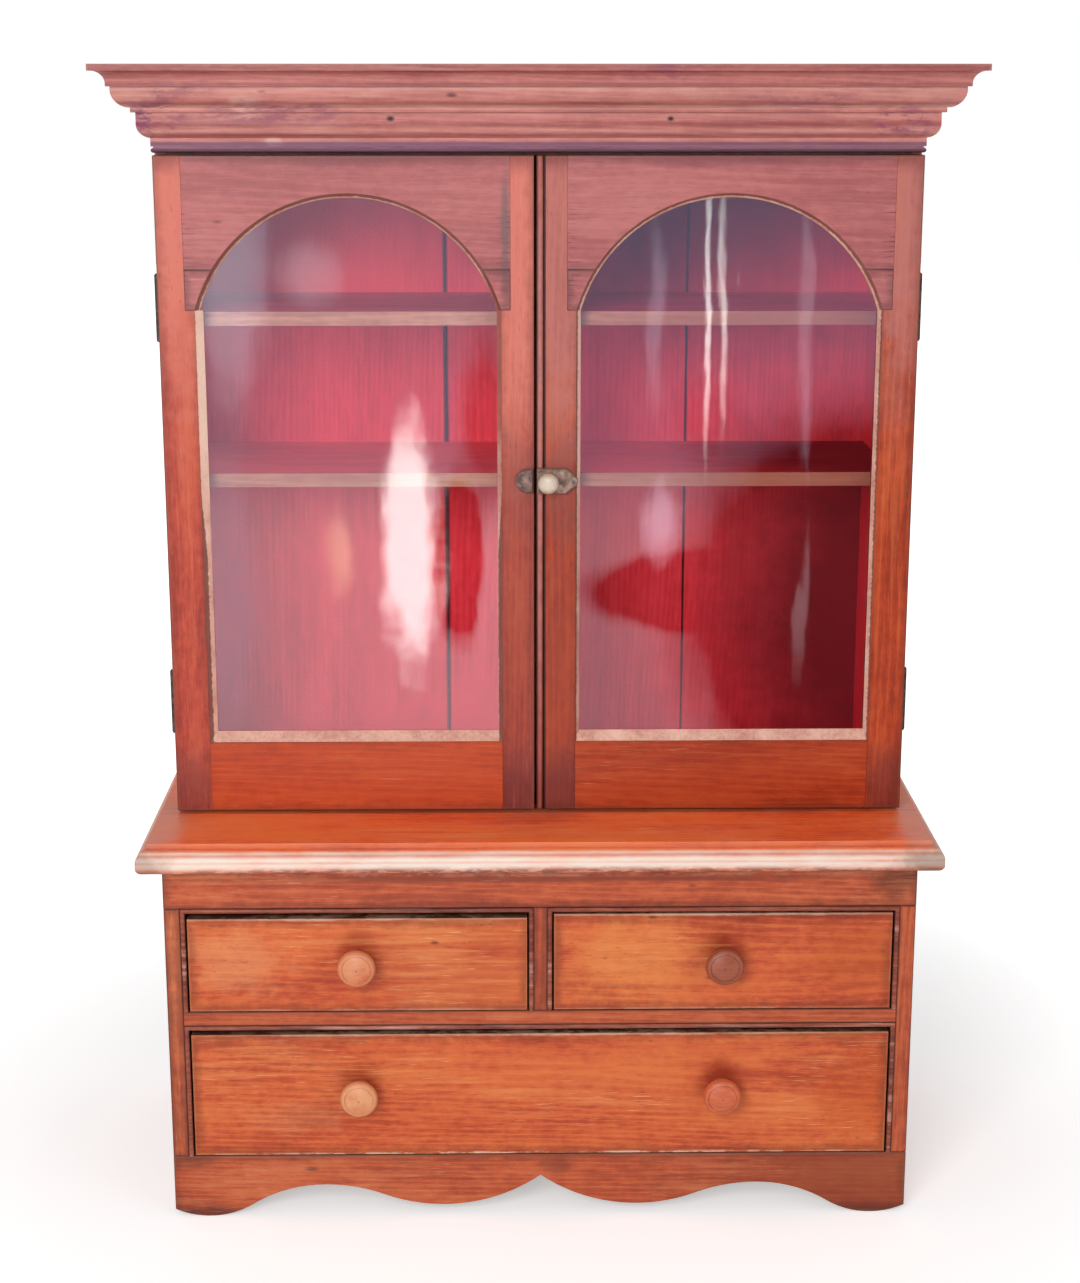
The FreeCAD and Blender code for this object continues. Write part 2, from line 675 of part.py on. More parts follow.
def upper_back_boards():
    """Three upright back boards, lapped at their seams and open a little on the inner face."""
    half = CASE_IN + BACK_RABBET_W
    middle_y = BACK_Y - BACK_T / 2
    seams = [UPPER_SEAM_LEFT_X, UPPER_SEAM_RIGHT_X]
    starts = [-half] + seams
    ends = seams + [half]
    boards = []
    for i, (x0, x1) in enumerate(zip(starts, ends)):
        inner0 = x0 if i == 0 else x0 + BACK_SEAM_GAP
        outer0 = x0 if i == 0 else x0 + BACK_LAP_W
        outer1 = x1 if i == len(seams) else x1 + BACK_LAP_W
        path = [(inner0, BACK_FACE_Y), (x1, BACK_FACE_Y), (x1, middle_y), (outer1, middle_y), (outer1, BACK_Y),
                (outer0, BACK_Y), (outer0, middle_y), (inner0, middle_y)]
        path = [p for n, p in enumerate(path) if n == 0 or p != path[n - 1]]
        boards.append(along_z(path, WAIST_TOP, UPPER_TOP))
    return Part.makeCompound(boards)


def cornice_profile():
    """The cornice's section as outward distances from the door plane and heights above the case top."""
    corner = math.sqrt(0.5)
    bead_in = BED_FASCIA_OUT - BED_BEAD_OUT
    path = [(-CORNICE_FOOT_W, 0.0), (bead_in, 0.0), ((BED_FASCIA_OUT, BED_BEAD_H / 2), (bead_in, BED_BEAD_H))]
    out = BED_FASCIA_OUT
    high = BED_BEAD_H + BED_QUIRK_H
    path += [(bead_in, high), (out, high)]
    high += BED_FASCIA_H
    path.append((out, high))
    bulge = (out + LOWER_OVOLO_OUT * corner, high + LOWER_OVOLO_H * (1 - corner))
    out += LOWER_OVOLO_OUT
    high += LOWER_OVOLO_H
    path += [(bulge, (out, high)), (out, high + FRIEZE_H)]
    out += FILLET_OUT
    high += FRIEZE_H
    path += [(out, high), (out, high + FILLET_H)]
    out += UPPER_OVOLO_STEP
    high += FILLET_H
    bulge = (out + UPPER_OVOLO_OUT * corner, high + UPPER_OVOLO_H * (1 - corner))
    path += [(out, high), (bulge, (out + UPPER_OVOLO_OUT, high + UPPER_OVOLO_H))]
    out += UPPER_OVOLO_OUT + CROWN_FILLET_OUT
    high += UPPER_OVOLO_H
    path += [(out, high), (out, high + CROWN_FILLET_H)]
    high += CROWN_FILLET_H
    hollow = (out + COVE_OUT * (1 - corner), high + COVE_H * corner)
    out += COVE_OUT
    high += COVE_H
    path.append((hollow, (out, high)))
    out += CROWN_STEP
    path += [(out, high), (out, high + CROWN_H)]
    high += CROWN_H
    path += [(out - CORNICE_TOP_W, high), (-CORNICE_FOOT_W / 2, CORNICE_FOOT_H), (-CORNICE_FOOT_W, CORNICE_FOOT_H)]
    return path, out, high


def cornice_nodes():
    """Front and returns of the cornice, mitred at the corners, by node name."""
    path, reach, height = cornice_profile()
    top = UPPER_TOP + height
    wide = CASE_HALF + reach
    narrow = CASE_HALF - CORNICE_FOOT_W
    front_y = DOOR_Y - reach
    foot_y = DOOR_Y + CORNICE_FOOT_W
    front = face(path, lambda a, h: V(-wide, DOOR_Y - a, UPPER_TOP + h)).extrude(V(2 * wide, 0, 0))
    plan = [(-wide, front_y), (wide, front_y), (narrow, foot_y), (-narrow, foot_y)]
    end = face(path, lambda a, h: V(CASE_HALF + a, front_y, UPPER_TOP + h)).extrude(V(0, BACK_Y - front_y, 0))
    end_plan = [(wide, front_y), (wide, BACK_Y), (narrow, BACK_Y), (narrow, foot_y)]
    right = end.common(along_z(end_plan, UPPER_TOP, top))
    return {
        "cornice_front": front.common(along_z(plan, UPPER_TOP, top)),
        "cornice_right": right,
        "cornice_left": mirrored(right),
    }


def cornice_blocks():
    """Three-cornered glue blocks between the cornice and the case top: along the front and one at each end."""
    foot_y = DOOR_Y + CORNICE_FOOT_W
    section = [(foot_y, UPPER_TOP), (foot_y + BLOCK_SIZE, UPPER_TOP), (foot_y, UPPER_TOP + BLOCK_SIZE)]
    half = BLOCK_L / 2
    blocks = [along_x(section, x - half, x + half) for x in (-BLOCK_PITCH, 0.0, BLOCK_PITCH)]
    foot_x = CASE_HALF - CORNICE_FOOT_W
    section = [(foot_x, UPPER_TOP), (foot_x - BLOCK_SIZE, UPPER_TOP), (foot_x, UPPER_TOP + BLOCK_SIZE)]
    middle = (foot_y + BACK_Y) / 2
    return Part.makeCompound(blocks + both_sides(along_y(section, middle - half, middle + half)))


# Hinges, worked out for the right door


def hinge_levels():
    """Heights of the middles of a door's two hinges."""
    return [DOOR_Z + LOWER_HINGE_RISE, DOOR_Z + UPPER_HINGE_RISE]


def leaf_plate(z, y0, y1):
    """The flat of a hinge leaf, clear of the knuckles."""
    inner = HINGE_X - HINGE_OUT - HINGE_LEAF_W
    outer = HINGE_X - KNUCKLE_R - KNUCKLE_GAP
    return box(inner, outer, y0, y1, z - HINGE_L / 2, z + HINGE_L / 2)


def leaf_mortise(z, y0, y1):
    """The wood taken out for a hinge leaf, open at the outer face."""
    return box(HINGE_X - HINGE_OUT - HINGE_LEAF_W, HINGE_X, y0, y1, z - HINGE_L / 2, z + HINGE_L / 2)


def knuckle_relief(z):
    """The round space that the wood leaves for the knuckles and the pin's heads."""
    length = HINGE_L + 2 * (PIN_HEAD_H + KNUCKLE_RELIEF)
    return Part.makeCylinder(KNUCKLE_R + KNUCKLE_RELIEF, length, V(HINGE_X, HINGE_Y, z - length / 2))


def hinge_leaf(z, y0, y1, first):
    """A leaf with every second knuckle from the one numbered first, bored for the pin."""
    pitch = HINGE_L / HINGE_KNUCKLES
    shapes = [leaf_plate(z, y0, y1)]
    outer = HINGE_X - KNUCKLE_R - KNUCKLE_GAP
    for i in range(first, HINGE_KNUCKLES, 2):
        low = z - HINGE_L / 2 + i * pitch + (KNUCKLE_GAP / 2 if i else 0.0)
        high = z - HINGE_L / 2 + (i + 1) * pitch - (KNUCKLE_GAP / 2 if i < HINGE_KNUCKLES - 1 else 0.0)
        shapes.append(Part.makeCylinder(KNUCKLE_R, high - low, V(HINGE_X, HINGE_Y, low)))
        shapes.append(box(outer, HINGE_X, y0, y1, low, high))
    bore = Part.makeCylinder(PIN_R + PIN_CLEARANCE, HINGE_L, V(HINGE_X, HINGE_Y, z - HINGE_L / 2))
    return joined(shapes).cut(bore)


def hinge_pin(z):
    """A pin with a flat head at each end, resting on the outermost knuckles."""
    low = z - HINGE_L / 2
    high = z + HINGE_L / 2
    pin = Part.makeCylinder(PIN_R, HINGE_L, V(HINGE_X, HINGE_Y, low))
    heads = [Part.makeCylinder(PIN_HEAD_R, PIN_HEAD_H, V(HINGE_X, HINGE_Y, at)) for at in (low - PIN_HEAD_H, high)]
    return joined([pin] + heads)


def door_leaves():
    """The right door's two leaves, let in flush with its back."""
    return [hinge_leaf(z, DOOR_BACK_Y - HINGE_LEAF_T, DOOR_BACK_Y, 1) for z in hinge_levels()]


def hinge_nodes():
    """Leaves and pins by node name."""
    case = [hinge_leaf(z, CASE_Y, CASE_Y + HINGE_LEAF_T, 0) for z in hinge_levels()]
    pins = [hinge_pin(z) for z in hinge_levels()]
    right = door_leaves()
    return {
        "hinge_case_leaves": Part.makeCompound(case + [mirrored(s) for s in case]),
        "hinge_pins": Part.makeCompound(pins + [mirrored(s) for s in pins]),
        "right_door_hinge_leaves": Part.makeCompound(right),
        "left_door_hinge_leaves": Part.makeCompound([mirrored(s) for s in right]),
    }


# Doors


class Door:
    """One glazed door; side is -1 for the left door and +1 for the right one."""

    def __init__(self, side, meet_x, meeting_w, putty_w):
        self.side = side
        self.meet_x = meet_x
        self.putty_w = putty_w
        self.outer_x = side * CASE_HALF
        edges = [self.outer_x - side * HINGE_STILE_W, meet_x + side * meeting_w]
        self.x0 = min(edges)
        self.x1 = max(edges)
        self.middle = (self.x0 + self.x1) / 2
        self.half = (self.x1 - self.x0) / 2
        self.sill = DOOR_Z + DOOR_RAIL_H
        self.spring = DOOR_Z + ARCH_SPRING
        self.radius = sweep_radius(self.half, ARCH_RISE)
        self.centre_z = self.spring + ARCH_RISE - self.radius

    def outline(self, inset, y0, y1):
        """The glazed opening, smaller by inset all round, from y0 to y1."""
        half = self.half - inset
        radius = self.radius - inset
        spring = self.centre_z + math.sqrt(radius ** 2 - half ** 2)
        left = self.middle - half
        right = self.middle + half
        low = self.sill + inset
        crown = (self.middle, self.centre_z + radius)
        return along_y([(left, low), (right, low), (right, spring), (crown, (left, spring))], y0, y1)

    def opening(self):
        """What the glazing takes out of the frame: the rabbet at the front and the sight hole behind it."""
        return [self.outline(0.0, DOOR_Y, RABBET_Y), self.outline(LIP_W, RABBET_Y, DOOR_BACK_Y)]

    def tenon(self, x, sign, deep, z0, z1):
        """A tenon that runs from x into a stile."""
        y0 = DOOR_Y + (DOOR_T - DOOR_TENON_T) / 2
        return box(min(x, x + sign * deep), max(x, x + sign * deep), y0, y0 + DOOR_TENON_T, z0, z1)

    def rail_tenons(self):
        """Tenons of the bottom rail, left and right."""
        z0 = DOOR_Z + TENON_SHOULDER
        z1 = self.sill - TENON_SHOULDER
        return [self.tenon(self.x0, -1, RAIL_TENON_DEEP, z0, z1), self.tenon(self.x1, 1, RAIL_TENON_DEEP, z0, z1)]

    def head_tenons(self):
        """Tenons of the head, left and right."""
        z0 = self.spring + EAR_H + TENON_SHOULDER
        z1 = DOOR_TOP - TENON_SHOULDER
        left = self.tenon(self.x0 - EAR_LAP, -1, HEAD_TENON_DEEP, z0, z1)
        return [left, self.tenon(self.x1 + EAR_LAP, 1, HEAD_TENON_DEEP, z0, z1)]

    def stile(self, edge, inner, section=None):
        """A stile from its outer edge to the sight line, with its glazing lip, cut back beside the arched head."""
        sign = 1 if inner > edge else -1
        board = section if section else box(min(edge, inner), max(edge, inner), DOOR_Y, DOOR_BACK_Y, DOOR_Z, DOOR_TOP)
        lip_x = inner + sign * LIP_W
        lip = box(min(inner, lip_x), max(inner, lip_x), RABBET_Y, DOOR_BACK_Y, self.sill + LIP_W, self.spring)
        lap_x = inner - sign * EAR_LAP
        notch = box(min(lap_x, lip_x), max(lap_x, lip_x), DOOR_Y, DOOR_BACK_Y, self.spring, DOOR_TOP)
        return joined([board, lip]).cut([notch] + self.rail_tenons() + self.head_tenons())

    def hinge_stile(self):
        """Stile at the hinges, let in for the leaves and their knuckles."""
        cuts = []
        for z in hinge_levels():
            cuts += [leaf_mortise(z, DOOR_BACK_Y - HINGE_LEAF_T, DOOR_BACK_Y), knuckle_relief(z)]
        if self.side < 0:
            cuts = [mirrored(s) for s in cuts]
        return self.stile(self.outer_x, self.x0 if self.side < 0 else self.x1).cut(cuts)

    def meeting_stile(self):
        """Plain stile where the left door meets the right one."""
        return self.stile(self.meet_x, self.x1 if self.side < 0 else self.x0)

    def beaded_stile(self):
        """Stile of the right door, with a quirked bead worked along its meeting edge."""
        radius = MEETING_BEAD_W / 2
        bead_x = self.meet_x + MEETING_BEAD_W
        quirk_x = bead_x + MEETING_QUIRK_W
        depth = DOOR_Y + radius
        path = [(self.meet_x, DOOR_BACK_Y), (self.meet_x, depth),
                ((self.meet_x + radius, DOOR_Y), (bead_x, depth)), (quirk_x, depth), (quirk_x, DOOR_Y),
                (self.x0, DOOR_Y), (self.x0, DOOR_BACK_Y)]
        return self.stile(self.meet_x, self.x0, along_z(path, DOOR_Z, DOOR_TOP))

    def bottom_rail(self):
        """Bottom rail with its glazing lip, tenoned into the stiles."""
        rail = box(self.x0, self.x1, DOOR_Y, DOOR_BACK_Y, DOOR_Z, self.sill)
        lip = box(self.x0, self.x1, RABBET_Y, DOOR_BACK_Y, self.sill, self.sill + LIP_W)
        return joined([rail, lip] + self.rail_tenons())

    def head(self):
        """Head board sawn to the arch, tenoned into the stiles."""
        board = box(self.x0 - EAR_LAP, self.x1 + EAR_LAP, DOOR_Y, DOOR_BACK_Y, self.spring + EAR_H, DOOR_TOP)
        return joined([board] + self.head_tenons()).cut(self.opening())

    def ears(self):
        """Two blocks under the ends of the head that carry the arch down to the stiles."""
        spans = [(self.x0 - EAR_LAP, self.middle), (self.middle, self.x1 + EAR_LAP)]
        blocks = [box(a, b, DOOR_Y, DOOR_BACK_Y, self.spring, self.spring + EAR_H) for a, b in spans]
        return Part.makeCompound([block.cut(self.opening()) for block in blocks])

    def glass(self):
        """Pane bedded against the lip."""
        return self.outline(GLASS_GAP, RABBET_Y - GLASS_T, RABBET_Y)

    def putty(self):
        """Putty fillet that slopes from the frame down to the glass all round."""
        front = DOOR_Y + PUTTY_SET_IN
        glass_y = RABBET_Y - GLASS_T
        widths = (self.putty_w, PUTTY_W) if self.side < 0 else (PUTTY_W, self.putty_w)
        left = [(self.x0, front), (self.x0 + widths[0], glass_y), (self.x0, glass_y)]
        right = [(self.x1, front), (self.x1, glass_y), (self.x1 - widths[1], glass_y)]
        low = [(front, self.sill), (glass_y, self.sill), (glass_y, self.sill + PUTTY_SILL_W)]
        sides = [along_z(path, self.sill, self.spring) for path in (left, right)]
        sill = along_x(low, self.x0, self.x1)
        angle = math.degrees(math.asin(self.half / self.radius))
        section = [(self.radius, front), (self.radius, glass_y), (self.radius - PUTTY_W, glass_y)]
        arch = face(section, lambda r, y: V(self.middle, y, self.centre_z + r))
        arch.rotate(V(self.middle, 0, self.centre_z), V(0, 1, 0), -angle)
        arch = arch.revolve(V(self.middle, 0, self.centre_z), V(0, 1, 0), 2 * angle)
        return joined([sill] + sides + [arch])

    def nodes(self, prefix):
        """The door's pieces by node name."""
        meeting = self.meeting_stile() if self.side < 0 else self.beaded_stile()
        return {
            prefix + "_hinge_stile": self.hinge_stile(),
            prefix + "_meeting_stile": meeting,
            prefix + "_bottom_rail": self.bottom_rail(),
            prefix + "_head": self.head(),
            prefix + "_ears": self.ears(),
            prefix + "_glass": self.glass(),
            prefix + "_putty": self.putty(),
        }


# Latch


def eased(shape, front_y):
    """The shape with its front edges bevelled."""
    edges = [e for e in shape.Edges if abs(e.BoundBox.YMin - front_y) < 1e-6 and abs(e.BoundBox.YMax - front_y) < 1e-6]
    return shape.makeChamfer(LATCH_EASE, edges)


def bolt_cavity():
    """The space in the latch case that the crank and the bolt move in, and the mouth that the nose passes."""
    left = RIGHT_MEET_X + LATCH_EDGE_IN
    half = BOLT_H / 2 + LATCH_PLAY
    right = left + BOLT_NOSE_L + BOLT_BODY_L + LATCH_PLAY
    room = box(left + LATCH_END_WALL, right, DOOR_Y - LATCH_T + LATCH_WALL, DOOR_Y, LATCH_Z - half, LATCH_Z + half)
    mouth_half = BOLT_NOSE_H / 2 + LATCH_PLAY
    mouth_y = DOOR_Y - BOLT_T - 2 * LATCH_PLAY
    mouth = box(left, left + LATCH_END_WALL, mouth_y, DOOR_Y, LATCH_Z - mouth_half, LATCH_Z + mouth_half)
    return [room, mouth]


def latch_case():
    """Cast case on the right door: square at the meeting edge and tapered to a rounded tip."""
    left = RIGHT_MEET_X + LATCH_EDGE_IN
    half = LATCH_H / 2
    taper_x = left + LATCH_L - LATCH_TAPER_L
    tip_x = left + LATCH_L - LATCH_TIP_L
    tip = LATCH_TIP_H / 2
    path = [(left, LATCH_Z - half), (taper_x, LATCH_Z - half), (tip_x, LATCH_Z - tip),
            ((left + LATCH_L, LATCH_Z), (tip_x, LATCH_Z + tip)), (taper_x, LATCH_Z + half), (left, LATCH_Z + half)]
    case = eased(along_y(path, DOOR_Y - LATCH_T, DOOR_Y), DOOR_Y - LATCH_T)
    bore = pegs(SPINDLE_R + SPINDLE_CLEARANCE, left + LATCH_AXIS_IN, LATCH_Z, DOOR_Y - LATCH_T, DOOR_Y)
    return case.cut(bolt_cavity() + [bore])


def crank_offset():
    """Where the crank pin stands from the knob's axis when the bolt is drawn back."""
    swing = math.radians(CRANK_SWING_DEG)
    return CRANK_R * math.sin(swing), CRANK_R * math.cos(swing)


def latch_knob():
    """Turned knob with its collar, spindle, crank disc and crank pin."""
    axis_x = RIGHT_MEET_X + LATCH_EDGE_IN + LATCH_AXIS_IN
    disc_in = BOLT_T + 2 * LATCH_PLAY
    disc_out = disc_in + CRANK_DISC_T
    collar_in = LATCH_T + LATCH_PLAY
    collar_out = collar_in + LATCH_COLLAR_T
    neck_out = collar_out + LATCH_NECK_L
    ball = neck_out + math.sqrt(LATCH_BALL_R ** 2 - LATCH_NECK_R ** 2)
    path = [(0.0, disc_in), (CRANK_DISC_R, disc_in), (CRANK_DISC_R, disc_out), (SPINDLE_R, disc_out),
            (SPINDLE_R, collar_in), (LATCH_COLLAR_R, collar_in), (LATCH_COLLAR_R, collar_out),
            (LATCH_NECK_R, collar_out), (LATCH_NECK_R, neck_out),
            ((LATCH_BALL_R, ball), (0.0, ball + LATCH_BALL_R))]
    knob = turned(path, axis_x, DOOR_Y, LATCH_Z)
    dx, dz = crank_offset()
    pin = pegs(CRANK_PIN_R, axis_x + dx, LATCH_Z + dz, DOOR_Y - disc_out, DOOR_Y - LATCH_PLAY)
    return joined([knob, pin])


def latch_bolt():
    """Bolt with a narrow nose and an upright slot for the crank pin, drawn back clear of the keeper."""
    left = RIGHT_MEET_X + LATCH_EDGE_IN
    y0 = DOOR_Y - LATCH_PLAY - BOLT_T
    y1 = DOOR_Y - LATCH_PLAY
    shoulder = left + BOLT_NOSE_L
    nose = box(left, shoulder, y0, y1, LATCH_Z - BOLT_NOSE_H / 2, LATCH_Z + BOLT_NOSE_H / 2)
    body = box(shoulder, shoulder + BOLT_BODY_L, y0, y1, LATCH_Z - BOLT_H / 2, LATCH_Z + BOLT_H / 2)
    dx, dz = crank_offset()
    pin_x = left + LATCH_AXIS_IN + dx
    reach = CRANK_PIN_R + LATCH_PLAY
    slot = box(pin_x - reach, pin_x + reach, y0, y1, LATCH_Z + dz - reach, LATCH_Z + CRANK_R + reach)
    return joined([nose, body]).cut(slot)


def latch_keeper():
    """Keeper on the left door: rounded at its far end, with a pocket for the bolt's nose."""
    right = LEFT_MEET_X - LATCH_EDGE_IN
    half = KEEPER_H / 2
    round_x = right - KEEPER_L + half
    path = [(right, LATCH_Z - half), (right, LATCH_Z + half), (round_x, LATCH_Z + half),
            ((round_x - half, LATCH_Z), (round_x, LATCH_Z - half))]
    plate = eased(along_y(path, DOOR_Y - KEEPER_T, DOOR_Y), DOOR_Y - KEEPER_T)
    pocket_half = BOLT_NOSE_H / 2 + 2 * LATCH_PLAY
    pocket_y = DOOR_Y - BOLT_T - 4 * LATCH_PLAY
    pocket = box(right - KEEPER_POCKET, right, pocket_y, DOOR_Y, LATCH_Z - pocket_half, LATCH_Z + pocket_half)
    return plate.cut(pocket)


def base_nodes():
    """Fixed pieces of the base by node name."""
    side = base_side()
    stile = box(BAY_HALF, BASE_HALF, FACE_Y, FRAME_BACK_Y, APRON_H, UPPER_BAY_TOP)
    return {
        "base_side_left": mirrored(side),
        "base_side_right": side,
        "base_top_rail": box(-BASE_HALF, BASE_HALF, FACE_Y, FRAME_BACK_Y, UPPER_BAY_TOP, BASE_H),
        "base_stile_left": mirrored(stile),
        "base_stile_right": stile,
        "base_mid_rail": drawer_rail(LOWER_BAY_TOP, FACE_Y),
        "base_bottom_rail": drawer_rail(APRON_H - MID_RAIL_T, FRAME_BACK_Y),
        "base_muntin": box(-MUNTIN_HALF, MUNTIN_HALF, FACE_Y, FRAME_BACK_Y, UPPER_BAY_Z, UPPER_BAY_TOP),
        "base_apron": base_apron(),
        "base_back_boards": base_back_boards(),
        "drawer_beads": drawer_beads(),
        "drawer_runners": drawer_runners(),
        "drawer_guides": drawer_guides(),
        "drawer_stops": drawer_stops(),
        "waist_board": waist_board(),
    }


def upper_nodes():
    """Fixed pieces of the upper case by node name."""
    side = upper_side()
    nodes = {"upper_side_left": mirrored(side), "upper_side_right": side, "upper_back_boards": upper_back_boards()}
    nodes.update(upper_boards())
    nodes.update(cornice_nodes())
    nodes["cornice_blocks"] = cornice_blocks()
    return nodes


def main():
    """Builds every piece and writes one STEP file for each node."""
    nodes = base_nodes()
    nodes.update(drawer_nodes())
    nodes.update(upper_nodes())
    nodes.update(hinge_nodes())
    nodes.update(Door(-1, LEFT_MEET_X, MEETING_STILE_W, PUTTY_WIDE_W).nodes("left_door"))
    nodes.update(Door(1, RIGHT_MEET_X, MEETING_STILE_W + MEETING_BEAD_W, PUTTY_W).nodes("right_door"))
    nodes["latch_case"] = latch_case()
    nodes["latch_knob"] = latch_knob()
    nodes["latch_bolt"] = latch_bolt()
    nodes["latch_keeper"] = latch_keeper()
    os.makedirs("parts", exist_ok=True)
    for name, shape in nodes.items():
        shape.exportStep(os.path.join("parts", name + ".step"))


main()
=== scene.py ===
"""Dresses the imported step-back cupboard: stained boards, a red painted inside, old glass, iron and brass.

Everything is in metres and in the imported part's own frame: +X to the right, +Y to the back, +Z up.
"""

import logging
import math
from dataclasses import dataclass
from enum import Enum
from typing import Optional, Sequence, Union

import bmesh
import bpy
import numpy as np
from mathutils import Euler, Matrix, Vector


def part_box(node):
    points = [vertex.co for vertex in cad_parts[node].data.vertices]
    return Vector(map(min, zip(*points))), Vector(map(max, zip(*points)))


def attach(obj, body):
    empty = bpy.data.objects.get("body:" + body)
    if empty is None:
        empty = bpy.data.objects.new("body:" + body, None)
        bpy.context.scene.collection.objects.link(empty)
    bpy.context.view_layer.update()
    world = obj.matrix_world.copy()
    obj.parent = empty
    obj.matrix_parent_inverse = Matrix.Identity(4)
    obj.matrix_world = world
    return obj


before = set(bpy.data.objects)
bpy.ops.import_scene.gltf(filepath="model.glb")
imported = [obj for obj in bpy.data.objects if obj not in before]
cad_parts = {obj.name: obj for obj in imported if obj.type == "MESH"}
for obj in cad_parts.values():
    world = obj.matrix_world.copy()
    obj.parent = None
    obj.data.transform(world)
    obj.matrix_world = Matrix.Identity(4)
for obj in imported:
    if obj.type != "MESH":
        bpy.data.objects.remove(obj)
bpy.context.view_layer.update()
LOG = logging.getLogger("cupboard")

Colour = tuple[float, float, float, float]
Point = tuple[float, float, float]
Socket = bpy.types.NodeSocket
Material = bpy.types.Material
Tree = bpy.types.NodeTree
Feed = Union[Socket, float, tuple]
Names = tuple[str, ...]
Rows = tuple[tuple[float, ...], ...]


def paint(red: int, green: int, blue: int) -> Colour:
    """Turns a colour as eyes read it into the linear values that a shader takes.

    Args:
        red, green, blue: Display values from 0 to 255.

    Returns:
        The linear colour, with full alpha.
    """
    share = np.array([red, green, blue]) / 255.0
    linear = np.where(share <= 0.04045, share / 12.92, ((share + 0.055) / 1.055) ** 2.4)
    return (*linear.tolist(), 1.0)


class Bench:
    """A node tree with short calls that add nodes to it and join them."""

    def __init__(self, tree: Tree) -> None:
        """Works on the tree given."""
        self.tree = tree

    def add(self, kind: str, feeds: Optional[dict] = None, **settings: object) -> bpy.types.Node:
        """Adds a node.

        Args:
            kind: Blender's name of the node's type.
            feeds: An output of another node or a plain value for its inputs, by their names or numbers.
            settings: The node's own properties.

        Returns:
            The new node.
        """
        node = self.tree.nodes.new(kind)
        for name, value in settings.items():
            setattr(node, name, value)
        for name, value in (feeds or {}).items():
            if isinstance(value, Socket):
                self.tree.links.new(value, node.inputs[name])
            else:
                node.inputs[name].default_value = value
        return node

    def calc(self, operation: str, *values: Feed, clamp: bool = False) -> Socket:
        """The result of a Math node on the values given."""
        feeds = dict(enumerate(values))
        return self.add("ShaderNodeMath", feeds, operation=operation, use_clamp=clamp).outputs[0]

    def times(self, value: Feed, factor: Feed) -> Socket:
        """The product of two values."""
        return self.calc("MULTIPLY", value, factor)

    def minus(self, value: Feed, less: Feed) -> Socket:
        """The difference of two values."""
        return self.calc("SUBTRACT", value, less)

    def line(self, value: Feed, slope: Feed, start: Feed) -> Socket:
        """The value times a slope, plus a start."""
        return self.calc("MULTIPLY_ADD", value, slope, start)

    def most(self, value: Feed, other: Feed) -> Socket:
        """The larger one of two values."""
        return self.calc("MAXIMUM", value, other)

    def size(self, value: Feed) -> Socket:
        """The value without its sign."""
        return self.calc("ABSOLUTE", value)

    def far(self, one: Feed, other: Feed) -> Socket:
        """The distance sqrt(one^2 + other^2)."""
        return self.calc("SQRT", self.line(one, one, self.times(other, other)))

    def vector(self, operation: str, *values: Feed) -> Socket:
        """The vector result of a Vector Math node on the values given."""
        return self.add("ShaderNodeVectorMath", dict(enumerate(values)), operation=operation).outputs[0]

    def length(self, vector: Feed) -> Socket:
        """The length of a vector."""
        return self.add("ShaderNodeVectorMath", {0: vector}, operation="LENGTH").outputs["Value"]

    def parts(self, vector: Feed) -> list[Socket]:
        """The X, Y and Z of a vector."""
        return list(self.add("ShaderNodeSeparateXYZ", {0: vector}).outputs)

    def noise(self, vector: Feed, scale: float, detail: float = 3.0, rough: float = 0.55) -> Socket:
        """A Noise texture's value, about 0.5 on average."""
        feeds = {"Vector": vector, "Scale": scale, "Detail": detail, "Roughness": rough}
        return self.add("ShaderNodeTexNoise", feeds).outputs[0]

    def drawn(self, vector: Feed, scale: Point, detail: float = 2.0, rough: float = 0.55) -> Socket:
        """Noise with a scale of its own along each axis, so that it can be drawn out along one."""
        return self.noise(self.vector("MULTIPLY", vector, scale), 1.0, detail, rough)

    def span(self, value: Feed, low: float, high: float, start: Feed = 0.0, end: Feed = 1.0) -> Socket:
        """A smooth step from start to end as the value goes from low to high."""
        feeds = {0: value, 1: low, 2: high, 3: start, 4: end}
        return self.add("ShaderNodeMapRange", feeds, interpolation_type="SMOOTHSTEP").outputs[0]

    def choose(self, share: Feed, value: Feed, other: Feed) -> Socket:
        """The other value where the share is 1, and the value where it is 0."""
        return self.add("ShaderNodeMix", {0: share, 2: value, 3: other}).outputs[0]

    def blend(self, share: Feed, below: Feed, above: Feed) -> Socket:
        """The colour above laid over the colour below by a share."""
        return self.add("ShaderNodeMix", {0: share, 6: below, 7: above}, data_type="RGBA").outputs[2]

    def lay(self, below: Feed, above: Feed, mask: Feed, strength: Feed) -> Socket:
        """The colour above laid over the colour below by a mask times a strength."""
        return self.blend(self.times(mask, strength), below, above)

    def ramp(self, value: Feed, stops: list[tuple[float, Colour]]) -> Socket:
        """A colour that changes with a value.

        Args:
            value: Where on the ramp, from 0 to 1.
            stops: Two or more places on the ramp, each with its colour.

        Returns:
            The colour.
        """
        node = self.add("ShaderNodeValToRGB", {0: value})
        points = node.color_ramp.elements
        for place, _ in stops[2:]:
            points.new(place)
        for point, (place, colour) in zip(points, stops):
            point.position = place
            point.color = colour
        return node.outputs[0]

    def use(self, effect: "Effect", **feeds: Feed) -> dict[str, Socket]:
        """The outputs of a shared effect, by their names, for the inputs given."""
        outputs = self.add("ShaderNodeGroup", feeds, node_tree=effect.value).outputs
        return {socket.name: socket for socket in outputs}

    def mask(self, effect: "Effect", **feeds: Feed) -> Socket:
        """The mask of a shared effect for the inputs given."""
        return self.use(effect, **feeds)["Mask"]

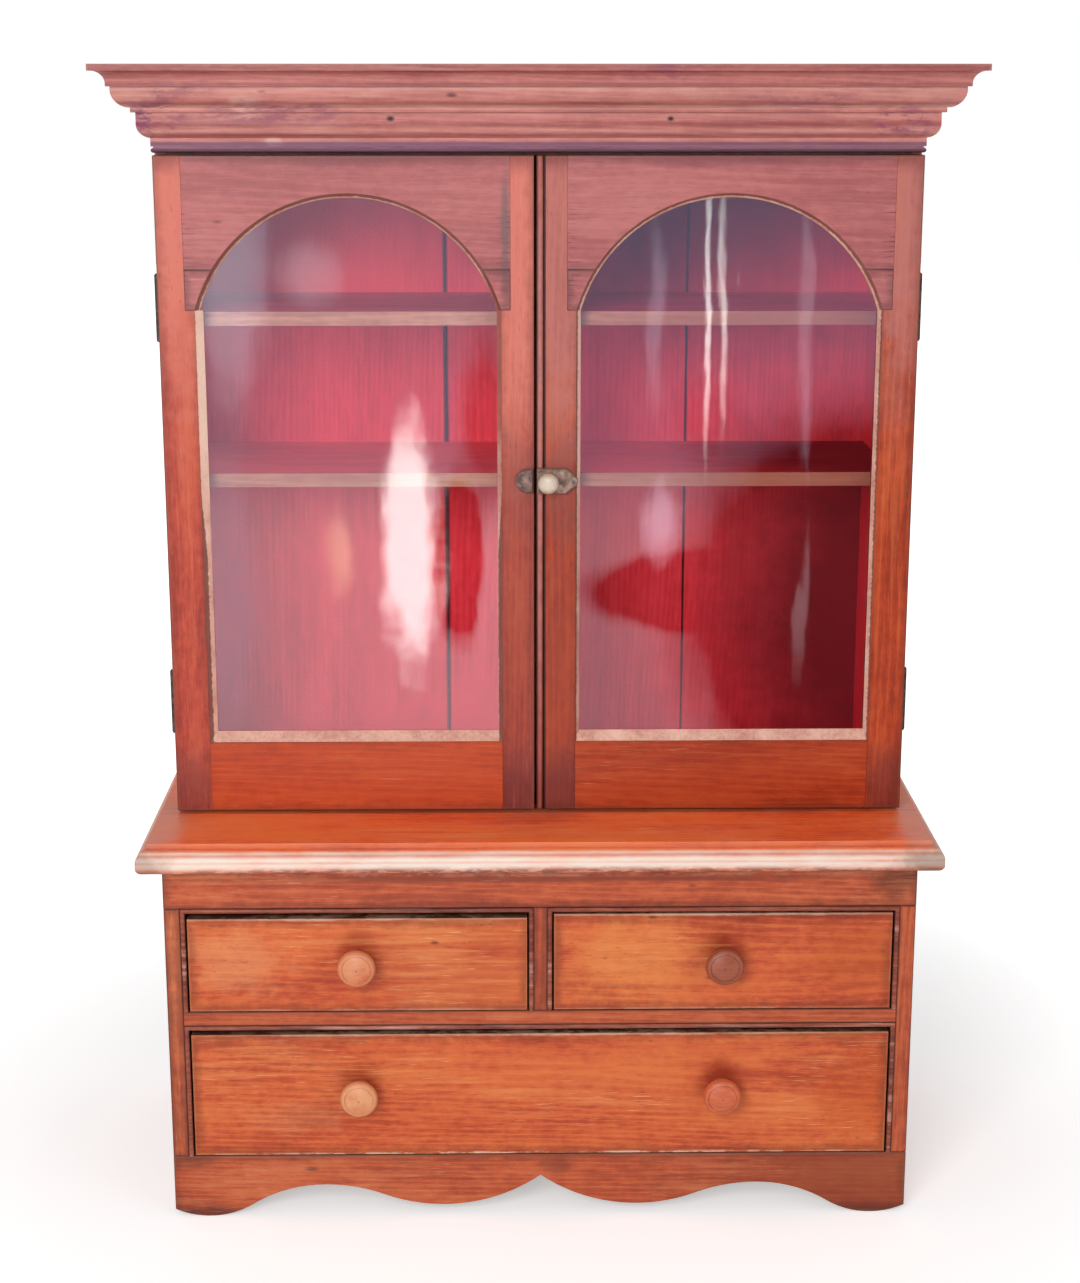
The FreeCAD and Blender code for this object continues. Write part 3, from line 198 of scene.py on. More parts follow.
    def seen_directly(self) -> Socket:
        """1 for what is seen straight, in a reflection or through glass, and 0 for what only lights."""
        rays = self.add("ShaderNodeLightPath").outputs
        return self.most(self.most(rays["Is Camera Ray"], rays["Is Glossy Ray"]), rays["Is Transmission Ray"])


class EffectBench(Bench):
    """The bench of a new node group."""

    def __init__(self, name: str, vectors: Names = ("Vector",), values: Names = ()) -> None:
        """Begins the group.

        Args:
            name: The group's name.
            vectors, values: The names of its vector inputs and of its plain ones, which come after them.
        """
        super().__init__(bpy.data.node_groups.new(name, "ShaderNodeTree"))
        for kind, names in (("NodeSocketVector", vectors), ("NodeSocketFloat", values)):
            for socket in names:
                self.tree.interface.new_socket(name=socket, in_out="INPUT", socket_type=kind)
        self.given = [socket for socket in self.add("NodeGroupInput").outputs if socket.name]

    def shifted(self, vector: Feed, seed: Feed) -> Socket:
        """The vector moved to a part of the noise that belongs to the seed."""
        return self.vector("MULTIPLY_ADD", (1.7, 0.9, 1.3), seed, vector)

    def close(self, **outputs: Socket) -> Tree:
        """Ends the group.

        Args:
            outputs: The values that it puts out, by their names.

        Returns:
            The group.
        """
        for name in outputs:
            self.tree.interface.new_socket(name=name, in_out="OUTPUT", socket_type="NodeSocketFloat")
        self.add("NodeGroupOutput", outputs)
        return self.tree


def board_grain() -> Tree:
    """Grain of a sawn board whose fibres run along X.

    Rings are sin(2 pi r / spacing), where r is the distance from a pith line that lies behind the board and
    leans a little; slow noise bends them. Streaks, fibres and mottles are noise drawn out along X.

    Returns:
        The group.
    """
    bench = EffectBench("board_grain", values=("Seed", "Pith"))
    place, seed, pith = bench.given
    moved = bench.shifted(place, seed)
    slow = bench.drawn(moved, (1.1, 7.0, 7.0))
    cloud = bench.drawn(moved, (4.0, 15.0, 15.0), 4.0, 0.6)
    streak = bench.drawn(moved, (4.5, 120.0, 120.0), 4.0, 0.62)
    fine = bench.drawn(moved, (38.0, 640.0, 640.0))
    mottle = bench.drawn(moved, (60.0, 90.0, 90.0), 4.0, 0.65)
    x, y, z = bench.parts(place)
    deep = bench.calc("ADD", y, 0.055)
    off = bench.calc("ADD", bench.line(x, 0.03, z), pith)
    turns = bench.line(bench.far(deep, off), 150.0, bench.times(slow, 7.0))
    wave = bench.calc("SINE", bench.times(turns, 2 * math.pi))
    ring = bench.calc("POWER", bench.line(wave, 0.5, 0.5), 2.5)
    tone = bench.times(streak, 0.20)
    for part, share in ((cloud, 0.40), (fine, 0.17), (mottle, 0.20), (ring, 0.05)):
        tone = bench.line(part, share, tone)
    height = bench.line(ring, 0.3, bench.times(fine, 0.7))
    return bench.close(Tone=bench.span(tone, 0.35, 0.65), Height=height)


def edge_distance_mask() -> Tree:
    """1 at a box's edges and 0 further in than Reach, broken up by noise.

    The distance to the nearest edge is the middle one of the three distances to the box's faces, because
    the smallest one is that to the face which the point lies on.

    Returns:
        The group.
    """
    bench = EffectBench("edge_distance_mask", ("Vector", "Low", "High"), ("Reach", "Ragged"))
    place, low, high, reach, ragged = bench.given
    from_low = bench.vector("SUBTRACT", place, low)
    from_high = bench.vector("SUBTRACT", high, place)
    a, b, c = bench.parts(bench.vector("MINIMUM", from_low, from_high))
    middle = bench.most(bench.calc("MINIMUM", a, b), bench.calc("MINIMUM", bench.most(a, b), c))
    rough = bench.minus(bench.noise(place, 55.0, 5.0, 0.65), 0.5)
    share = bench.line(rough, ragged, bench.calc("DIVIDE", middle, reach))
    return bench.close(Mask=bench.span(share, 0.05, 1.0, 1.0, 0.0))


def rubbed_streaks() -> Tree:
    """Places along X where rubbing has thinned the finish: fine streaks inside slow patches of noise.

    Flecks and Scratches are the peaks of finer noise, kept in patches of their own.

    Returns:
        The group.
    """
    bench = EffectBench("rubbed_streaks", values=("Seed",))
    moved = bench.shifted(*bench.given)
    streak = bench.drawn(moved, (7.0, 120.0, 120.0), 4.0, 0.6)
    patch = bench.drawn(moved, (2.6, 9.0, 9.0))
    both = bench.line(streak, 0.55, bench.times(patch, 0.45))
    fleck = bench.span(bench.drawn(moved, (75.0, 430.0, 430.0)), 0.63, 0.72)
    flecked = bench.span(bench.noise(moved, 17.0), 0.42, 0.62)
    scratch = bench.span(bench.drawn(moved, (26.0, 560.0, 560.0)), 0.64, 0.72)
    scratched = bench.span(patch, 0.45, 0.6)
    return bench.close(Mask=bench.span(both, 0.52, 0.66), Flecks=bench.times(fleck, flecked),
                       Scratches=bench.times(scratch, scratched))


def dents_and_nail_holes() -> Tree:
    """Small dark dents: the middles of some cells of a Voronoi texture that is drawn out along X.

    Returns:
        The group.
    """
    bench = EffectBench("dents_and_nail_holes", values=("Seed",))
    moved = bench.vector("MULTIPLY", bench.shifted(*bench.given), (13.0, 34.0, 34.0))
    cells = bench.add("ShaderNodeTexVoronoi", {"Vector": moved, "Scale": 1.0}).outputs
    near = bench.span(cells["Distance"], 0.02, 0.10, 1.0, 0.0)
    chosen = bench.calc("GREATER_THAN", bench.parts(cells["Color"])[0], 0.72)
    return bench.close(Mask=bench.times(near, chosen))


def soft_patch() -> Tree:
    """1 in the middle of an ellipsoid and 0 at its rim, with a ragged border.

    Returns:
        The group.
    """
    bench = EffectBench("soft_patch", ("Vector", "Centre", "Reach"), ("Ragged",))
    place, centre, reach, ragged = bench.given
    away = bench.length(bench.vector("DIVIDE", bench.vector("SUBTRACT", place, centre), reach))
    rough = bench.minus(bench.noise(place, 38.0, 4.0, 0.6), 0.5)
    return bench.close(Mask=bench.span(bench.line(rough, ragged, away), 0.25, 1.0, 1.0, 0.0))


def saw_marks() -> Tree:
    """Short level scratches: a sine of the height, kept where level patches of noise are high.

    Returns:
        The group.
    """
    bench = EffectBench("saw_marks")
    place = bench.given[0]
    level = bench.times(bench.parts(place)[2], 1150.0)
    wave = bench.calc("SINE", bench.line(bench.noise(place, 14.0, 2.0), 9.0, level))
    kept = bench.span(bench.drawn(place, (45.0, 45.0, 150.0)), 0.46, 0.6)
    return bench.close(Mask=bench.times(bench.span(wave, 0.45, 0.9), kept))


def chipped_edge() -> Tree:
    """Chips and crumbs of all sizes, drawn out a little along X: the peaks of rough noise.

    Returns:
        The group.
    """
    bench = EffectBench("chipped_edge")
    rough = bench.drawn(bench.given[0], (34.0, 60.0, 110.0), 5.0, 0.7)
    return bench.close(Mask=bench.span(rough, 0.42, 0.56))


def settled_dust() -> Tree:
    """Dust on what faces up: a step of the normal's Z, in patches of noise.

    Returns:
        The group.
    """
    bench = EffectBench("settled_dust")
    up = bench.parts(bench.add("ShaderNodeNewGeometry").outputs["Normal"])[2]
    patch = bench.span(bench.noise(bench.given[0], 16.0, 4.0, 0.6), 0.3, 0.75, 0.35, 1.0)
    return bench.close(Mask=bench.times(bench.span(up, 0.35, 0.95), patch))


class Effect(Enum):
    """The node groups that finishes share, each built once."""

    GRAIN = board_grain()
    EDGES = edge_distance_mask()
    SCUFFS = rubbed_streaks()
    DENTS = dents_and_nail_holes()
    PATCH = soft_patch()
    SAWN = saw_marks()
    CHIPPED = chipped_edge()
    DUST = settled_dust()


class Grain(Enum):
    """Which way a board's fibres run, as the turn that lays them along X."""

    ACROSS = (0.0, 0.0, 0.0)
    DEEP = (0.0, 0.0, -math.pi / 2)
    UPRIGHT = (0.0, math.pi / 2, 0.0)


@dataclass(frozen=True)
class Stain:
    """Colours of a stained board, from its darkest streak to wood that is rubbed bare, and of its soil."""

    deep: Colour
    body: Colour
    light: Colour
    rubbed: Colour
    bare: Colour
    soil: Colour


class Tint(Enum):
    """The stain as time has left it in different places, as display values in the order of Stain's fields.
    PALE, on the cornice, and FADED, on the door heads and ears, are pinker and paler as painted cool light
    from above.
    """

    PALE = ((156, 82, 79), (180, 101, 96), (200, 126, 118), (208, 142, 132), (234, 186, 170), (84, 36, 40))
    FADED = ((158, 84, 84), (175, 99, 98), (189, 115, 111), (200, 134, 126), (226, 176, 164), (80, 36, 42))
    ROSE = ((144, 45, 30), (181, 69, 49), (201, 94, 67), (214, 116, 90), (234, 172, 144), (80, 28, 22))
    RED = ((138, 40, 12), (176, 60, 22), (198, 84, 36), (210, 108, 58), (230, 160, 118), (72, 22, 12))
    ORANGE = ((164, 58, 30), (204, 92, 51), (220, 117, 62), (230, 142, 84), (242, 188, 136), (92, 32, 18))
    WAIST = ((212, 70, 18), (250, 98, 30), (255, 126, 48), (250, 148, 80), (240, 222, 208), (150, 98, 74))
    KNOB = ((112, 46, 27), (150, 68, 40), (168, 88, 55), (178, 104, 70), (188, 116, 80), (66, 28, 22))
    BROWN = ((150, 61, 37), (188, 86, 52), (206, 110, 68), (216, 132, 90), (234, 182, 150), (76, 30, 22))
    BEAD = ((92, 38, 28), (140, 68, 48), (172, 98, 76), (204, 150, 132), (226, 180, 160), (60, 24, 20))

    @property
    def stain(self) -> Stain:
        """The stain's colours."""
        return Stain(*(paint(*tone) for tone in self.value))


@dataclass(frozen=True)
class Smudge:
    """A soft patch: a dark or faded place, a hole, or a light on a card. With a fill, only its marks show."""

    centre: Point
    reach: Point
    colour: Colour
    strength: float = 0.6
    ragged: float = 0.6
    fill: Optional[Effect] = None


Smudges = tuple[Smudge, ...]


class MaterialBench(Bench):
    """The bench of a new material, which knows the place on the piece that is shaded."""

    def __init__(self, name: str) -> None:
        """Begins the material.

        Args:
            name: The material's name.
        """
        self.material = bpy.data.materials.new(name)
        self.material.use_nodes = True
        super().__init__(self.material.node_tree)
        self.tree.nodes.clear()
        self.place = self.add("ShaderNodeTexCoord").outputs["Object"]

    def moved(self, seed: float) -> Socket:
        """The place moved to a part of the noise that belongs to the seed."""
        return self.vector("ADD", self.place, (seed * 1.3, seed * 0.7, seed * 2.1))

    def patched(self, colour: Feed, smudges: Smudges) -> Socket:
        """Lays one patch after another over a colour.

        Args:
            colour: What lies below.
            smudges: The patches, the lowest one first.

        Returns:
            The colour with the patches.
        """
        for smudge in smudges:
            shape = {"Centre": smudge.centre, "Reach": smudge.reach, "Ragged": smudge.ragged}
            mask = self.mask(Effect.PATCH, Vector=self.place, **shape)
            if smudge.fill:
                mask = self.times(mask, self.mask(smudge.fill, Vector=self.place))
            colour = self.lay(colour, smudge.colour, mask, smudge.strength)
        return colour

    def shader(self, colour: Feed, rough: Feed, height: Feed, bump: float, deep: float,
               **more: Feed) -> Socket:
        """Makes a shader with a bumped surface.

        Args:
            colour, rough: Its colour and its roughness.
            height: The bumps, from 0 to 1.
            bump, deep: How strong and how many metres deep the bumps are.
            more: Other inputs, by their names in small letters with _ for a space.

        Returns:
            The shader.
        """
        normal = self.add("ShaderNodeBump", {"Height": height, "Strength": bump, "Distance": deep}).outputs[0]
        feeds = {"Base Color": colour, "Roughness": rough, "Normal": normal}
        feeds |= {name.replace("_", " ").title().replace("Ior", "IOR"): value for name, value in more.items()}
        return self.add("ShaderNodeBsdfPrincipled", feeds).outputs[0]

    def either(self, share: Feed, shader: Socket, other: Socket) -> Socket:
        """The other shader where the share is 1, and the shader where it is 0."""
        return self.add("ShaderNodeMixShader", {0: share, 1: shader, 2: other}).outputs[0]

    def finish(self, shader: Socket) -> Material:
        """Joins a shader to the material's output and gives the material."""
        self.add("ShaderNodeOutputMaterial", {"Surface": shader})
        return self.material


class BoardBench(MaterialBench):
    """The bench of a board's material, which knows the board's box and the run of its fibres."""

    def __init__(self, node: str, grain: Grain) -> None:
        """Begins the material.

        Args:
            node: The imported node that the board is.
            grain: The run of its fibres.
        """
        super().__init__(node + "_finish")
        low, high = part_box(node)
        self.box = {"Low": tuple(low), "High": tuple(high)}
        centred = self.vector("SUBTRACT", self.place, tuple((low + high) / 2))
        self.along = self.add("ShaderNodeMapping", {"Vector": centred, "Rotation": grain.value}).outputs[0]

    def edges(self, reach: float, ragged: float) -> Socket:
        """A ragged mask along the edges of the board's box."""
        return self.mask(Effect.EDGES, Vector=self.place, **self.box, Reach=reach, Ragged=ragged)

    def figure(self, seed: float, pith: float) -> dict[str, Socket]:
        """The tone and height of the board's grain, with its pith at a level."""
        return self.use(Effect.GRAIN, Vector=self.along, Seed=seed, Pith=pith)

    def crimson(self, seed: float) -> Socket:
        """Brushed crimson paint: streaks along the board, with the grain showing through a little.

        Args:
            seed: A number that gives each board its own figure.

        Returns:
            The paint's colour.
        """
        stops = [(0.0, paint(214, 38, 52)), (0.5, paint(236, 52, 66)), (1.0, paint(246, 66, 80))]
        colour = self.ramp(self.figure(seed, 0.02)["Tone"], stops)
        rubbed = self.mask(Effect.SCUFFS, Vector=self.along, Seed=seed + 5.0)
        return self.lay(colour, paint(236, 70, 84), rubbed, 0.3)


@dataclass(frozen=True)
class Band:
    """A share of bare wood and of soil on a moulding at a height. The soil also paints shade in the quirks
    and steps, and the bare wood partly paints highlight on the rounds.
    """

    height: float
    bare: float
    soil: float


def bands_above(foot: float, rows: Rows) -> tuple[Band, ...]:
    """The bands of a moulding, from rows of a rise above its foot, a share of bare wood and one of soil."""
    return tuple(Band(foot + rise, bare, soil) for rise, bare, soil in rows)


DUST = paint(206, 178, 166)
# Painted shade for the recesses behind a board's face, such as the gaps round the drawers and the door
# reveals.
RECESS_SHADE = paint(44, 18, 14)


@dataclass(frozen=True)
class StainedBoard:
    """A stained and rubbed board.

    Smudges lie under its wear, and marks over it. Bands follow a moulding's members. Behind face_y its edges
    are darkened as painted shade as far as thick, and nearer to the middle than inside_x it is painted
    crimson.
    """

    grain: Grain
    tint: Tint
    wear: float = 0.6
    wear_reach: float = 0.0035
    scuff: float = 0.35
    soil: float = 0.45
    soil_reach: float = 0.014
    dent: float = 0.5
    fleck: float = 0.3
    scratch: float = 0.25
    dust: float = 0.0
    gloss: float = 0.46
    seam: float = 0.0
    seam_reach: float = 0.0024
    face_y: Optional[float] = None
    thick: float = 0.0195
    smudges: Smudges = ()
    bands: tuple[Band, ...] = ()
    marks: Smudges = ()
    inside_x: float = 0.0

    def material(self, node: str, seed: float) -> Material:
        """Makes a board's material.

        Args:
            node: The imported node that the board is; its box says where the edges wear.
            seed: A number that gives each board its own figure.

        Returns:
            The material.
        """
        bench = BoardBench(node, self.grain)
        stain = self.tint.stain
        grain = bench.figure(seed, (seed * 0.37 % 1.0 - 0.5) * 0.3)
        colour = bench.ramp(grain["Tone"], [(0.0, stain.deep), (0.46, stain.body), (1.0, stain.light)])
        colour = bench.patched(colour, self.smudges)
        colour = bench.blend(bench.span(grain["Tone"], 0.0, 0.6, 0.2, 0.0), colour, stain.deep)
        rubbed = bench.use(Effect.SCUFFS, Vector=bench.along, Seed=seed + 3.0)
        colour = bench.lay(colour, stain.rubbed, rubbed["Mask"], self.scuff)
        colour = bench.lay(colour, stain.bare, rubbed["Scratches"], self.scratch)
        colour = bench.lay(colour, stain.soil, rubbed["Flecks"], self.fleck)
        colour = self.soiled(bench, colour)
        bare = bench.times(bench.edges(self.wear_reach, 1.9), self.wear)
        if self.bands:
            rough = bench.drawn(bench.place, (16.0, 16.0, 90.0), 5.0, 0.65)
            soil = self.banded(bench, [band.soil for band in self.bands], rough, 0.4)
            colour = bench.blend(soil, colour, stain.soil)
            bare = bench.most(bare, self.banded(bench, [band.bare for band in self.bands], rough, 1.8))
        colour = bench.blend(bare, colour, stain.bare)
        dent = bench.times(bench.mask(Effect.DENTS, Vector=bench.along, Seed=seed + 7.0), self.dent)
        colour = bench.patched(bench.blend(dent, colour, stain.soil), self.marks)
        if self.inside_x:
            inside = bench.calc("LESS_THAN", bench.size(bench.parts(bench.place)[0]), self.inside_x)
            colour = bench.blend(inside, colour, bench.crimson(seed))
        if self.dust:
            colour = bench.lay(colour, DUST, bench.mask(Effect.DUST, Vector=bench.place), self.dust)
        rough = bench.line(bare, 0.22, bench.line(grain["Tone"], 0.12, self.gloss))
        height = bench.minus(bench.minus(grain["Height"], bench.times(dent, 3.0)), bench.times(bare, 0.8))
        shader = bench.shader(colour, rough, height, bump=0.28, deep=0.0006, specular_ior_level=0.3,
                              coat_weight=0.04, coat_roughness=0.3)
        return bench.finish(shader)

    def soiled(self, bench: BoardBench, colour: Feed) -> Socket:
        """Lays soil along the board's edges and in its joints, and painted shade on the edges behind its
        face.

        Args:
            bench: The material's bench.
            colour: The colour below.

        Returns:
            The soiled colour.
        """
        soil = self.tint.stain.soil
        colour = bench.lay(colour, soil, bench.edges(self.soil_reach, 1.6), self.soil)
        if self.seam:
            colour = bench.lay(colour, soil, bench.edges(self.seam_reach, 0.7), self.seam)
        # Edges that lie behind the face get painted shade, as in a recess.
        if self.face_y is not None:
            depth = bench.minus(bench.parts(bench.place)[1], self.face_y)
            shaded_recess = bench.times(bench.span(depth, 0.0005, 0.0026), bench.calc("LESS_THAN", depth, self.thick))
            colour = bench.lay(colour, RECESS_SHADE, shaded_recess, 0.85)
        return colour

    def banded(self, bench: BoardBench, shares: list[float], rough: Feed, ragged: float) -> Socket:
        """Makes a share that changes with the height, band by band.

        Args:
            bench: The material's bench.
            shares: The share of each band.
            rough: Noise that breaks the bands up.
            ragged: How much it does so.

        Returns:
            The share.
        """
        low = self.bands[0].height
        tall = self.bands[-1].height - low
        rise = bench.calc("DIVIDE", bench.minus(bench.parts(bench.place)[2], low), tall, clamp=True)
        stops = [((band.height - low) / tall, (s, s, s, 1.0)) for band, s in zip(self.bands, shares)]
        grey = bench.parts(bench.ramp(rise, stops))[0]
        broken = bench.times(bench.minus(rough, 0.5), ragged)
        broken = bench.times(broken, bench.times(grey, bench.minus(1.6, grey)))
        return bench.calc("ADD", grey, broken, clamp=True)


@dataclass(frozen=True)
class PaintedBoard:
    """A board painted crimson, but bare before bare_front and behind bare_back."""

    grain: Grain
    bare_front: Optional[float] = None
    bare_back: Optional[float] = None
    smudges: Smudges = ()
    bare_smudges: Smudges = ()
    tan: tuple[Colour, ...] = (paint(168, 100, 82), paint(200, 134, 112), paint(214, 154, 130))
    brown: tuple[Colour, ...] = (paint(84, 56, 40), paint(122, 86, 62), paint(150, 112, 84))

    def material(self, node: str, seed: float) -> Material:
        """Makes the painted board's material.

        Args:
            node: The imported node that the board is.
            seed: A number that gives each board its own figure.

        Returns:
            The material.
        """
        bench = BoardBench(node, self.grain)
        colour = bench.patched(bench.crimson(seed), self.smudges)
        colour = bench.lay(colour, paint(120, 30, 30), bench.edges(0.003, 1.8), 0.5)
        grain = bench.figure(seed + 1.0, 0.05)
        depth = bench.parts(bench.place)[1]
        ends = ("LESS_THAN", self.bare_front, self.tan), ("GREATER_THAN", self.bare_back, self.brown)
        for side, limit, tones in ends:
            if limit is not None:
                bare = bench.ramp(grain["Tone"], list(zip((0.0, 0.5, 1.0), tones)))
                bare = bench.patched(bare, self.bare_smudges)
                colour = bench.blend(bench.calc(side, depth, limit), colour, bare)
        rough = bench.line(grain["Tone"], 0.16, 0.44)
        shader = bench.shader(colour, rough, grain["Height"], bump=0.1, deep=0.0005, specular_ior_level=0.15)
        return bench.finish(shader)


@dataclass(frozen=True)
class BareBoard:
    """Unfinished pine that has browned with age."""

    grain: Grain
    dark: Colour = paint(120, 82, 54)
    body: Colour = paint(166, 122, 84)
    light: Colour = paint(196, 154, 112)
    dirt: float = 0.45
    smudges: Smudges = ()

    def material(self, node: str, seed: float) -> Material:
        """Makes the bare board's material.

        Args:
            node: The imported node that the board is.
            seed: A number that gives each board its own figure.

        Returns:
            The material.
        """
        bench = BoardBench(node, self.grain)
        grain = bench.figure(seed, (seed * 0.29 % 1.0 - 0.5) * 0.2)
        colour = bench.ramp(grain["Tone"], [(0.0, self.dark), (0.5, self.body), (1.0, self.light)])
        colour = bench.lay(colour, paint(72, 46, 30), bench.edges(0.02, 1.7), self.dirt)
        dent = bench.mask(Effect.DENTS, Vector=bench.along, Seed=seed + 2.0)
        colour = bench.patched(bench.lay(colour, paint(58, 36, 24), dent, 0.6), self.smudges)
        rough = bench.line(grain["Tone"], 0.14, 0.66)
        return bench.finish(bench.shader(colour, rough, grain["Height"], bump=0.35, deep=0.0006))


@dataclass(frozen=True)
class TurnedFinish:
    """Stained turned wood: rings round the knob's axis, and a face that hands have rubbed.

    The axis is at x = +-axis[0] and z = axis[1], and front is the face's y. The share of bare wood on the
    face is bare_left on the left half of the cupboard and bare_right on the right one.
    """

    axis: tuple[float, float]
    front: float
    tint: Tint
    bare_left: float
    bare_right: float
    ring_radius: float = 0.0171

    def material(self, name: str, seed: float) -> Material:
        """Makes the knob's material.

        Args:
            name: The material's name.
            seed: A number that gives each knob its own figure.

        Returns:
            The material.
        """
        bench = MaterialBench(name)
        stain = self.tint.stain
        x, y, z = bench.parts(bench.place)
        radius = bench.far(bench.minus(bench.size(x), abs(self.axis[0])), bench.minus(z, self.axis[1]))
        wobble = bench.noise(bench.place, 180.0, 4.0, 0.6)
        turned = bench.calc("SINE", bench.line(wobble, 5.0, bench.times(radius, 3600.0)))
        fibre = bench.drawn(bench.moved(seed), (40.0, 300.0, 300.0), 3.0)
        tone = bench.line(turned, 0.10, bench.line(fibre, 0.7, 0.12))
        colour = bench.ramp(tone, [(0.2, stain.deep), (0.48, stain.body), (0.8, stain.light)])
        outward = bench.span(y, self.front, self.front + 0.016, 1.0, 0.0)
        handled = bench.times(outward, bench.span(x, -0.01, 0.01, self.bare_left, self.bare_right))
        patch = bench.span(bench.noise(bench.moved(seed), 45.0), 0.2, 0.6, 0.35, 1.0)
        rim = bench.span(radius, 0.0155, 0.0195)
        rubbed = bench.most(bench.times(handled, patch), bench.times(handled, rim))
        colour = bench.blend(rubbed, colour, stain.bare)
        groove = bench.span(bench.size(bench.minus(radius, self.ring_radius)), 0.0004, 0.0018, 0.14, 0.0)
        groove = bench.times(groove, bench.span(y, self.front, self.front + 0.006, 1.0, 0.0))
        groove = bench.most(groove, bench.span(radius, 0.0008, 0.0022, 0.45, 0.0))
        neck = bench.span(y, self.front + 0.012, self.front + 0.026, 0.0, 0.55)
        colour = bench.blend(bench.most(groove, neck), colour, stain.soil)
        rough = bench.line(rubbed, 0.15, 0.42)
        shader = bench.shader(colour, rough, tone, bump=0.25, deep=0.0004,
                              coat_weight=0.15, coat_roughness=0.3)
        return bench.finish(shader)


@dataclass(frozen=True)
class OldGlass:
    """Hand-made window glass: clear, faintly green, with slow waves and drawn-out ripples."""

    tone: Colour = (0.975, 0.985, 0.98, 1.0)
    let_through: Colour = (0.95, 0.96, 0.955, 1.0)
    wave: float = 0.16

    def material(self, name: str, seed: float) -> Material:
        """Makes the pane's material; lamps shine through it without a shadow.

        Args:
            name: The material's name.
            seed: A number that gives each pane its own waves.

        Returns:
            The material.
        """
        bench = MaterialBench(name)
        slow = bench.drawn(bench.moved(seed), (9.0, 9.0, 3.2))
        quick = bench.drawn(bench.moved(seed), (34.0, 34.0, 12.0))
        glass = bench.shader(self.tone, 0.02, bench.line(quick, 0.08, slow), bump=self.wave, deep=0.004,
                             ior=1.5, transmission_weight=1.0)
        clear = bench.add("ShaderNodeBsdfTransparent", {"Color": self.let_through}).outputs[0]
        rays = bench.add("ShaderNodeLightPath").outputs
        unseen = bench.most(rays["Is Shadow Ray"], rays["Is Diffuse Ray"])
        return bench.finish(bench.either(unseen, glass, clear))


@dataclass(frozen=True)
class Putty:
    """Old glazing putty: cream to pink, cracked, stained over along the frame's sides, with painted shade
    round its arch.

    The stain reaches in from the frame by stained_low at the foot of the sides and stained_high at their top;
    round the arch, which springs at a height, the same dark reaches in by arch_shade as painted shadow of the
    frame's edge. The left side is mended, and the right one soiled.
    """

    spring: float
    stained_low: float
    stained_high: float
    arch_shade: float
    soiled: float = 0.0
    dull: Colour = paint(196, 132, 116)
    pale: Colour = paint(228, 176, 156)
    chalky: Colour = paint(244, 212, 192)
    fresh: Colour = paint(252, 218, 196)
    soil: Colour = paint(150, 70, 62)

    def material(self, node: str) -> Material:
        """Makes the putty's material.

        The distance from the frame is half the width less |x - middle| at the sides, and R - r in the arch,
        whose radius is R = (half^2 + rise^2) / (2 rise).

        Args:
            node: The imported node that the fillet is.

        Returns:
            The material.
        """
        bench = MaterialBench(node + "_finish")
        x, _, z = bench.parts(bench.place)
        low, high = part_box(node)
        half = (high.x - low.x) / 2
        rise = high.z - self.spring
        radius = (half ** 2 + rise ** 2) / (2 * rise)
        across = bench.size(bench.minus(x, (low.x + high.x) / 2))
        arch = bench.minus(radius, bench.far(bench.minus(z, high.z - radius), across))
        above = bench.calc("GREATER_THAN", z, self.spring)
        inward = bench.choose(above, bench.minus(half, across), arch)
        reach = bench.span(z, self.spring - 0.3, self.spring - 0.2, self.stained_low, self.stained_high)
        reach = bench.choose(above, reach, self.arch_shade)
        patch = bench.noise(bench.place, 26.0, 5.0, 0.62)
        fine = bench.noise(bench.place, 240.0)
        ragged = bench.line(bench.minus(fine, 0.5), 0.003, inward)
        # Dark where the stain reaches over the sides, and round the arch as painted shadow of the frame's
        # edge.
        stained = bench.span(bench.minus(ragged, reach), -0.0004, 0.0004, 0.85, 0.0)
        tone = bench.line(fine, 0.3, bench.times(patch, 0.7))
        colour = bench.ramp(tone, [(0.34, self.dull), (0.55, self.pale), (0.8, self.chalky)])
        feeds = {"Vector": bench.place, "Scale": 130.0}
        cells = bench.add("ShaderNodeTexVoronoi", feeds, feature="DISTANCE_TO_EDGE").outputs[0]
        crack = bench.span(cells, 0.0, 0.02, 0.22, 0.0)
        mended = Smudge((low.x, low.y, self.spring - 0.1), (0.03, 0.05, 0.20), self.fresh, 0.75, 0.5)
        soiled = Smudge((high.x, low.y, self.spring - 0.02), (0.03, 0.05, 0.26), self.soil, self.soiled, 0.5)
        colour = bench.blend(crack, bench.patched(colour, (mended, soiled)), paint(128, 76, 62))
        colour = bench.blend(stained, colour, paint(112, 50, 44))
        rough = bench.line(fine, 0.2, 0.55)
        return bench.finish(bench.shader(colour, rough, bench.minus(tone, crack), bump=0.4, deep=0.0006))


@dataclass(frozen=True)
class Felt:
    """Dark cloth, worn and dusty."""

    dark: Colour = paint(26, 12, 12)
    dusty: Colour = paint(58, 32, 30)

    def material(self, name: str) -> Material:
        """Makes the cloth's material.

        Args:
            name: The material's name.

        Returns:
            The material.
        """
        bench = MaterialBench(name)
        fuzz = bench.noise(bench.place, 700.0, 4.0, 0.7)
        colour = bench.ramp(fuzz, [(0.35, self.dark), (0.75, self.dusty)])
        return bench.finish(bench.shader(colour, 0.95, fuzz, bump=0.6, deep=0.0006, specular_ior_level=0.1))


